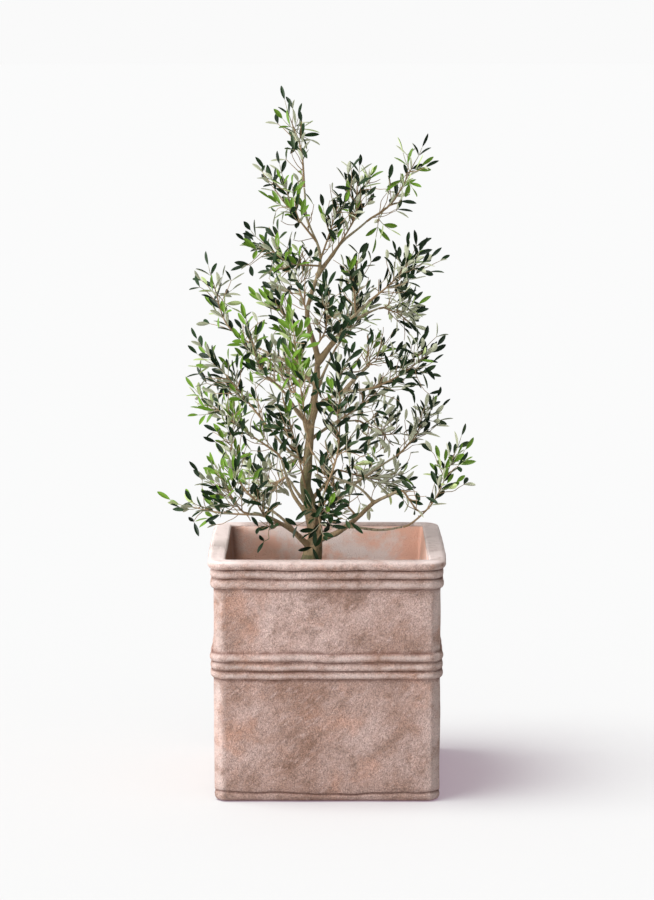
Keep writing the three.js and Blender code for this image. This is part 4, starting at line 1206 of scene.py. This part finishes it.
class Finishes:
    """The node groups and materials, each made once."""

    def __init__(self):
        self.patches_tree = patches_group()
        self.grain_tree = grain_group()

    def material(self, name, **surface):
        """A material with the shader's own sockets set, its tree, and where its pattern is read."""
        material = bpy.data.materials.new(name)
        material.use_nodes = True
        tree = material.node_tree
        shader = tree.nodes["Principled BSDF"]
        for key, value in surface.items():
            shader.inputs[key.replace("_", " ").title().replace("Ior", "IOR")].default_value = value
        place = node(tree, "ShaderNodeTexCoord").outputs["Object"]
        return material, tree, shader, place

    def patches(self, tree, place, scale, low, high, detail=5.0, warp=0.4):
        """A mask of soft patches."""
        given = {"Place": place, "Scale": scale, "Low": low, "High": high, "Detail": detail, "Warp": warp}
        return node(tree, "ShaderNodeGroup", given, node_tree=self.patches_tree).outputs["Mask"]

    def grain(self, tree, place, scale):
        """Fine grain: its value for colour and its height for relief."""
        made = node(tree, "ShaderNodeGroup", {"Place": place, "Scale": scale}, node_tree=self.grain_tree)
        return made.outputs["Value"], made.outputs["Height"]

    def terracotta(self, planter):
        """Hand-pressed terracotta: pale bloom, dark smears, dirt and painted shade in the creases, wear and
        painted highlights on the crests, a painted highlight on the rim's top and painted shade on the inner
        wall at the left.
        """
        material, tree, shader, place = self.material("terracotta", roughness=0.9, specular_ior_level=0.25)
        slanting = stretched(tree, place, (1.0, 1.0, 0.8), (0.0, -0.8, -0.6))
        brushed = stretched(tree, place, (1.0, 1.0, 0.3), (0.2, -0.9, -0.5))
        position = node(tree, "ShaderNodeSeparateXYZ", {"Vector": place}).outputs
        across = position["X"]

        def pattern(name, where=place):
            *patch, strength = CLAY_PATTERNS[name]
            return scaled(tree, self.patches(tree, where, *patch), strength)

        def on(attribute, mask):
            return worked(tree, "MULTIPLY", given_by(tree, attribute), mask)

        def layered(colour, *layers):
            for mask, over in layers:
                colour = mixed(tree, mask, colour, over)
            return colour

        clouds = worked(tree, "ADD", pattern("clouds"), pattern("drifts", slanting))
        strokes = pattern("strokes", brushed)
        splashed = ramped(tree, position["Z"], 0.30, 0.0, 0.0, 0.22)
        colour = layered(
            planter.clay, (clouds, planter.bloom), (pattern("smears", slanting), planter.smear),
            (strokes, planter.bloom), (pattern("stains"), planter.smear), (splashed, planter.smear),
            (pattern("rubbed"), planter.raw))
        coarse, lumps = self.grain(tree, place, 330.0)
        fine, pits = self.grain(tree, place, 700.0)
        speckle = ramped(tree, scaled(tree, worked(tree, "ADD", fine, coarse), 0.5), 0.38, 0.62, 0.48, 1.52)
        speckles = node(tree, "ShaderNodeCombineColor", dict.fromkeys(("Red", "Green", "Blue"), speckle))
        colour = mixed(tree, 1.0, colour, speckles.outputs["Color"], "MULTIPLY")
        # Painted shade on the inner wall at the left, darkest towards that wall.
        left_wall_shade = ramped(tree, across, -0.175, -0.197, 0.0, 0.85)
        inner_clay = layered(planter.inner, (pattern("limed"), planter.inner_bloom), (left_wall_shade, planter.left_wall_shade))
        # The painted highlight on the rim's top is strongest towards its left and right ends.
        sideways = ramped(tree, worked(tree, "MULTIPLY", across, across), 0.028, 0.038, 0.4, 0.95)
        colour = layered(
            # The crests and corners get wear and a painted highlight.
            colour, (given_by(tree, "inside"), inner_clay), (on("crest", pattern("worn_and_highlit")), planter.worn_and_highlit),
            (on("chipped", 0.6), planter.worn_and_highlit),
            # A painted highlight on the rim's top.
            (worked(tree, "MULTIPLY", on("topmost", pattern("rim")), sideways), planter.rim_highlight),
            # Dirt and painted shade in the creases.
            (on("hollow", pattern("dirt_and_shade")), planter.dirt_and_shade))
        relief = pattern("waves")
        for height, share in ((lumps, 1.3), (pits, 0.6), (strokes, 0.5)):
            relief = worked(tree, "ADD", relief, scaled(tree, height, share))
        finish_surface(tree, shader, colour, relief, 1.0, 0.0020)
        return material

    def soil(self, soil):
        """Dark potting soil, dry on its clods."""
        material, tree, shader, place = self.material("soil", roughness=0.95, specular_ior_level=0.2)
        value, height = self.grain(tree, place, 260.0)
        dry = worked(tree, "MULTIPLY", self.patches(tree, place, 30.0, 0.4, 0.65), value)
        finish_surface(tree, shader, mixed(tree, dry, soil.dark, soil.light), height, 0.9, 0.003)
        return material

    def bark(self, limb):
        """Grey-brown bark, olive-green and cracked where it is old, paler where it is thin."""
        material, tree, shader, place = self.material("bark", roughness=0.85, specular_ior_level=0.3)
        thick = given_by(tree, "thickness")
        upright = stretched(tree, place, (1.0, 1.0, 0.3))
        blotches = self.patches(tree, place, 60.0, 0.24, 0.5)
        old = worked(tree, "MULTIPLY", ramped(tree, thick, 0.5, 0.8), blotches)
        young = ramped(tree, thick, 0.3, 0.16)
        cracks = self.patches(tree, upright, 240.0, 0.5, 0.68, 3.0, 0.2)
        value, height = self.grain(tree, upright, 700.0)
        colour = mixed(tree, scaled(tree, young, 0.7), limb.bark, limb.shoot)
        colour = mixed(tree, old, colour, limb.moss)
        colour = mixed(tree, scaled(tree, cracks, 0.8), colour, limb.crack)
        colour = mixed(tree, scaled(tree, value, 0.25), colour, limb.shoot)
        finish_surface(tree, shader, colour, worked(tree, "SUBTRACT", height, cracks), 0.7, 0.0008)
        return material

    def plain(self, name, colour, **surface):
        """One colour all over, for small things that are dealt their colour by spray."""
        material, _, shader, _ = self.material(name, **surface)
        shader.inputs["Base Color"].default_value = opaque(colour)
        return material


class OLIVE_OT_planter(bpy.types.Operator):
    """Make the terracotta planter"""

    bl_idname = "olive.planter"
    bl_label = "Planter"

    def execute(self, context):
        planter = context.scene.olive_planter
        mesh = make_planter_mesh(planter)
        add_piece("planter", mesh, [FINISHES.terracotta(planter)], ["pot"])
        return {"FINISHED"}


class OLIVE_OT_soil(bpy.types.Operator):
    """Make the soil that fills the planter"""

    bl_idname = "olive.soil"
    bl_label = "Soil"

    def execute(self, context):
        scene = context.scene
        mesh = make_soil_mesh(scene.olive_planter, scene.olive_soil)
        add_piece("soil_fill", mesh, [FINISHES.soil(scene.olive_soil)], ["soil"])
        return {"FINISHED"}


class OLIVE_OT_limbs(bpy.types.Operator):
    """Make the trunk and boughs"""

    bl_idname = "olive.limbs"
    bl_label = "Trunk and boughs"

    def execute(self, context):
        settings = context.scene.olive_limbs
        mesh = make_bark_mesh(make_limbs(), settings)
        add_piece("bark", mesh, [FINISHES.bark(settings)], LIMB_NODES)
        return {"FINISHED"}


class OLIVE_OT_foliage(bpy.types.Operator):
    """Grow the twigs and leaves of every mass"""

    bl_idname = "olive.foliage"
    bl_label = "Twigs and leaves"

    def execute(self, context):
        leaf, limb = context.scene.olive_leaves, context.scene.olive_limbs
        growth = Growth(make_limbs(), leaf)
        if not growth.leaves:
            raise RuntimeError("no leaf found room")
        twig_bark = FINISHES.plain("twig_bark", limb.bark, roughness=0.8)
        shoot_bark = FINISHES.plain("shoot_bark", limb.shoot, roughness=0.7)
        twigs = [tapered(*twig, TWIG_STEP) for twig in growth.twigs]
        twigs += [tapered(*twig, BARE_TWIG_STEP) for twig in growth.bare]
        shoots = [tapered(*shoot, TWIG_STEP) for shoot in growth.shoots]
        add_piece("twigs", tube_mesh("twigs", twigs, TWIG_SIDES), [twig_bark], FOLIAGE_NODES)
        add_piece("shoots", tube_mesh("shoots", shoots, SHOOT_SIDES), [shoot_bark], FOLIAGE_NODES)
        silver = FINISHES.plain("silver_underside", leaf.silver, roughness=0.6)
        young_silver = FINISHES.plain("young_underside", leaf.young_silver, roughness=0.55)
        for tint in ("deep", "green", "grey", "young"):
            leaves = [row for row in growth.leaves if row[0] == tint]
            colour = getattr(leaf, tint)
            upper = FINISHES.plain(f"{tint}_leaf", colour, roughness=0.45, specular_ior_level=0.15)
            under = young_silver if tint == "young" else silver
            mesh = leaves_mesh(f"{tint}_leaves", leaves, leaf.thickness)
            add_piece(mesh.name, mesh, [upper, under], FOLIAGE_NODES)
        return {"FINISHED"}


class OLIVE_OT_stage(bpy.types.Operator):
    """Make the floor, the light and the camera"""

    bl_idname = "olive.stage"
    bl_label = "Stage"

    def execute(self, context):
        stage = context.scene.olive_stage
        context.scene.view_settings.view_transform = "Standard"
        self.add_floor(stage)
        self.add_light(stage)
        self.add_camera(stage)
        return {"FINISHED"}

    def add_floor(self, stage):
        """A pale floor with a faint glow, far wider than the view."""
        bm = bmesh.new()
        bmesh.ops.create_grid(bm, x_segments=1, y_segments=1, size=FLOOR_SIZE)
        mesh = bpy.data.meshes.new("floor")
        bm.to_mesh(mesh)
        bm.free()
        pale = FINISHES.plain("pale_floor", stage.floor, roughness=1.0, specular_ior_level=0.0,
                              emission_color=opaque(stage.floor_glow), emission_strength=1.0)
        mesh.materials.append(pale)
        floor = bpy.data.objects.new("floor", mesh)
        bpy.context.scene.collection.objects.link(floor)

    def add_light(self, stage):
        """The key, front and fill lights, of which the last two leave the floor alone, and the world."""
        filled = bpy.data.collections.new("filled")
        for piece in bpy.context.scene.objects:
            if piece.type == "MESH" and piece.name != "floor":
                filled.objects.link(piece)
        for name in ("key", "front"):
            lamp = bpy.data.lights.new(name, "SUN")
            lamp.angle = getattr(stage, name + "_softness")
            height, turn = getattr(stage, name + "_height"), getattr(stage, name + "_turn")
            self.put_light(lamp, getattr(stage, name), Vector(), (0, math.pi / 2 - height, math.pi + turn))
        lamp = bpy.data.lights.new("fill", "AREA")
        lamp.size = stage.fill_size
        place = Vector(stage.fill_place)
        self.put_light(lamp, stage.fill, place, place.to_track_quat("Z", "Y").to_euler())
        for name in ("fill", "front"):
            bpy.data.objects[name].light_linking.receiver_collection = filled
        world = bpy.data.worlds.new("studio")
        world.use_nodes = True
        tree = world.node_tree
        tree.nodes.clear()
        lighting = node(tree, "ShaderNodeBackground", {"Color": (1, 1, 1, 1), "Strength": stage.ambient})
        seen = node(tree, "ShaderNodeBackground", {"Color": opaque(stage.backdrop), "Strength": 1.0})
        path = node(tree, "ShaderNodeLightPath")
        shown = node(tree, "ShaderNodeMixShader", {0: path.outputs["Is Camera Ray"],
                                                   1: lighting.outputs[0], 2: seen.outputs[0]})
        node(tree, "ShaderNodeOutputWorld", {"Surface": shown.outputs[0]})
        bpy.context.scene.world = world

    def put_light(self, lamp, strength, place, turn):
        """Stands a lamp in the scene, out of the camera's sight."""
        lamp.energy = strength
        light = bpy.data.objects.new(lamp.name, lamp)
        light.location, light.rotation_euler = place, turn
        light.visible_camera = False
        bpy.context.scene.collection.objects.link(light)

    def add_camera(self, stage):
        """The camera in front of the planter, looking a little down."""
        data = bpy.data.cameras.new("camera")
        data.lens = stage.lens
        camera = bpy.data.objects.new("camera", data)
        camera.location = (0, -stage.distance, stage.camera_height)
        camera.rotation_euler = (math.pi / 2 - stage.pitch, 0, 0)
        bpy.context.scene.collection.objects.link(camera)
        bpy.context.scene.camera = camera


class OLIVE_PT_panel(bpy.types.Panel):
    """Sizes, colours and steps of the potted olive tree"""

    bl_idname = "OLIVE_PT_panel"
    bl_label = "Olive Tree"
    bl_space_type = "VIEW_3D"
    bl_region_type = "UI"
    bl_category = "Olive Tree"

    def draw(self, context):
        for settings, operator in STEPS:
            box = self.layout.box()
            group = getattr(context.scene, settings)
            for name in group.__annotations__:
                box.prop(group, name)
            box.operator(operator)


STEPS = (("olive_planter", "olive.planter"), ("olive_soil", "olive.soil"), ("olive_limbs", "olive.limbs"),
         ("olive_leaves", "olive.foliage"), ("olive_stage", "olive.stage"))
SETTINGS = {"olive_planter": PlanterSettings, "olive_soil": SoilSettings, "olive_limbs": LimbSettings,
            "olive_leaves": LeafSettings, "olive_stage": StageSettings}
CLASSES = (*SETTINGS.values(), OLIVE_OT_planter, OLIVE_OT_soil, OLIVE_OT_limbs, OLIVE_OT_foliage,
           OLIVE_OT_stage, OLIVE_PT_panel)
FINISHES = Finishes()


def register():
    """Adds the settings, steps and panel."""
    for made in CLASSES:
        bpy.utils.register_class(made)
    for name, group in SETTINGS.items():
        setattr(bpy.types.Scene, name, PointerProperty(type=group))


def unregister():
    """Takes them out again."""
    for name in SETTINGS:
        delattr(bpy.types.Scene, name)
    for made in reversed(CLASSES):
        bpy.utils.unregister_class(made)


def main():
    """Makes the whole scene."""
    register()
    bpy.ops.olive.planter()
    bpy.ops.olive.soil()
    bpy.ops.olive.limbs()
    bpy.ops.olive.foliage()
    bpy.ops.olive.stage()


if __name__ == "__main__":
    main()
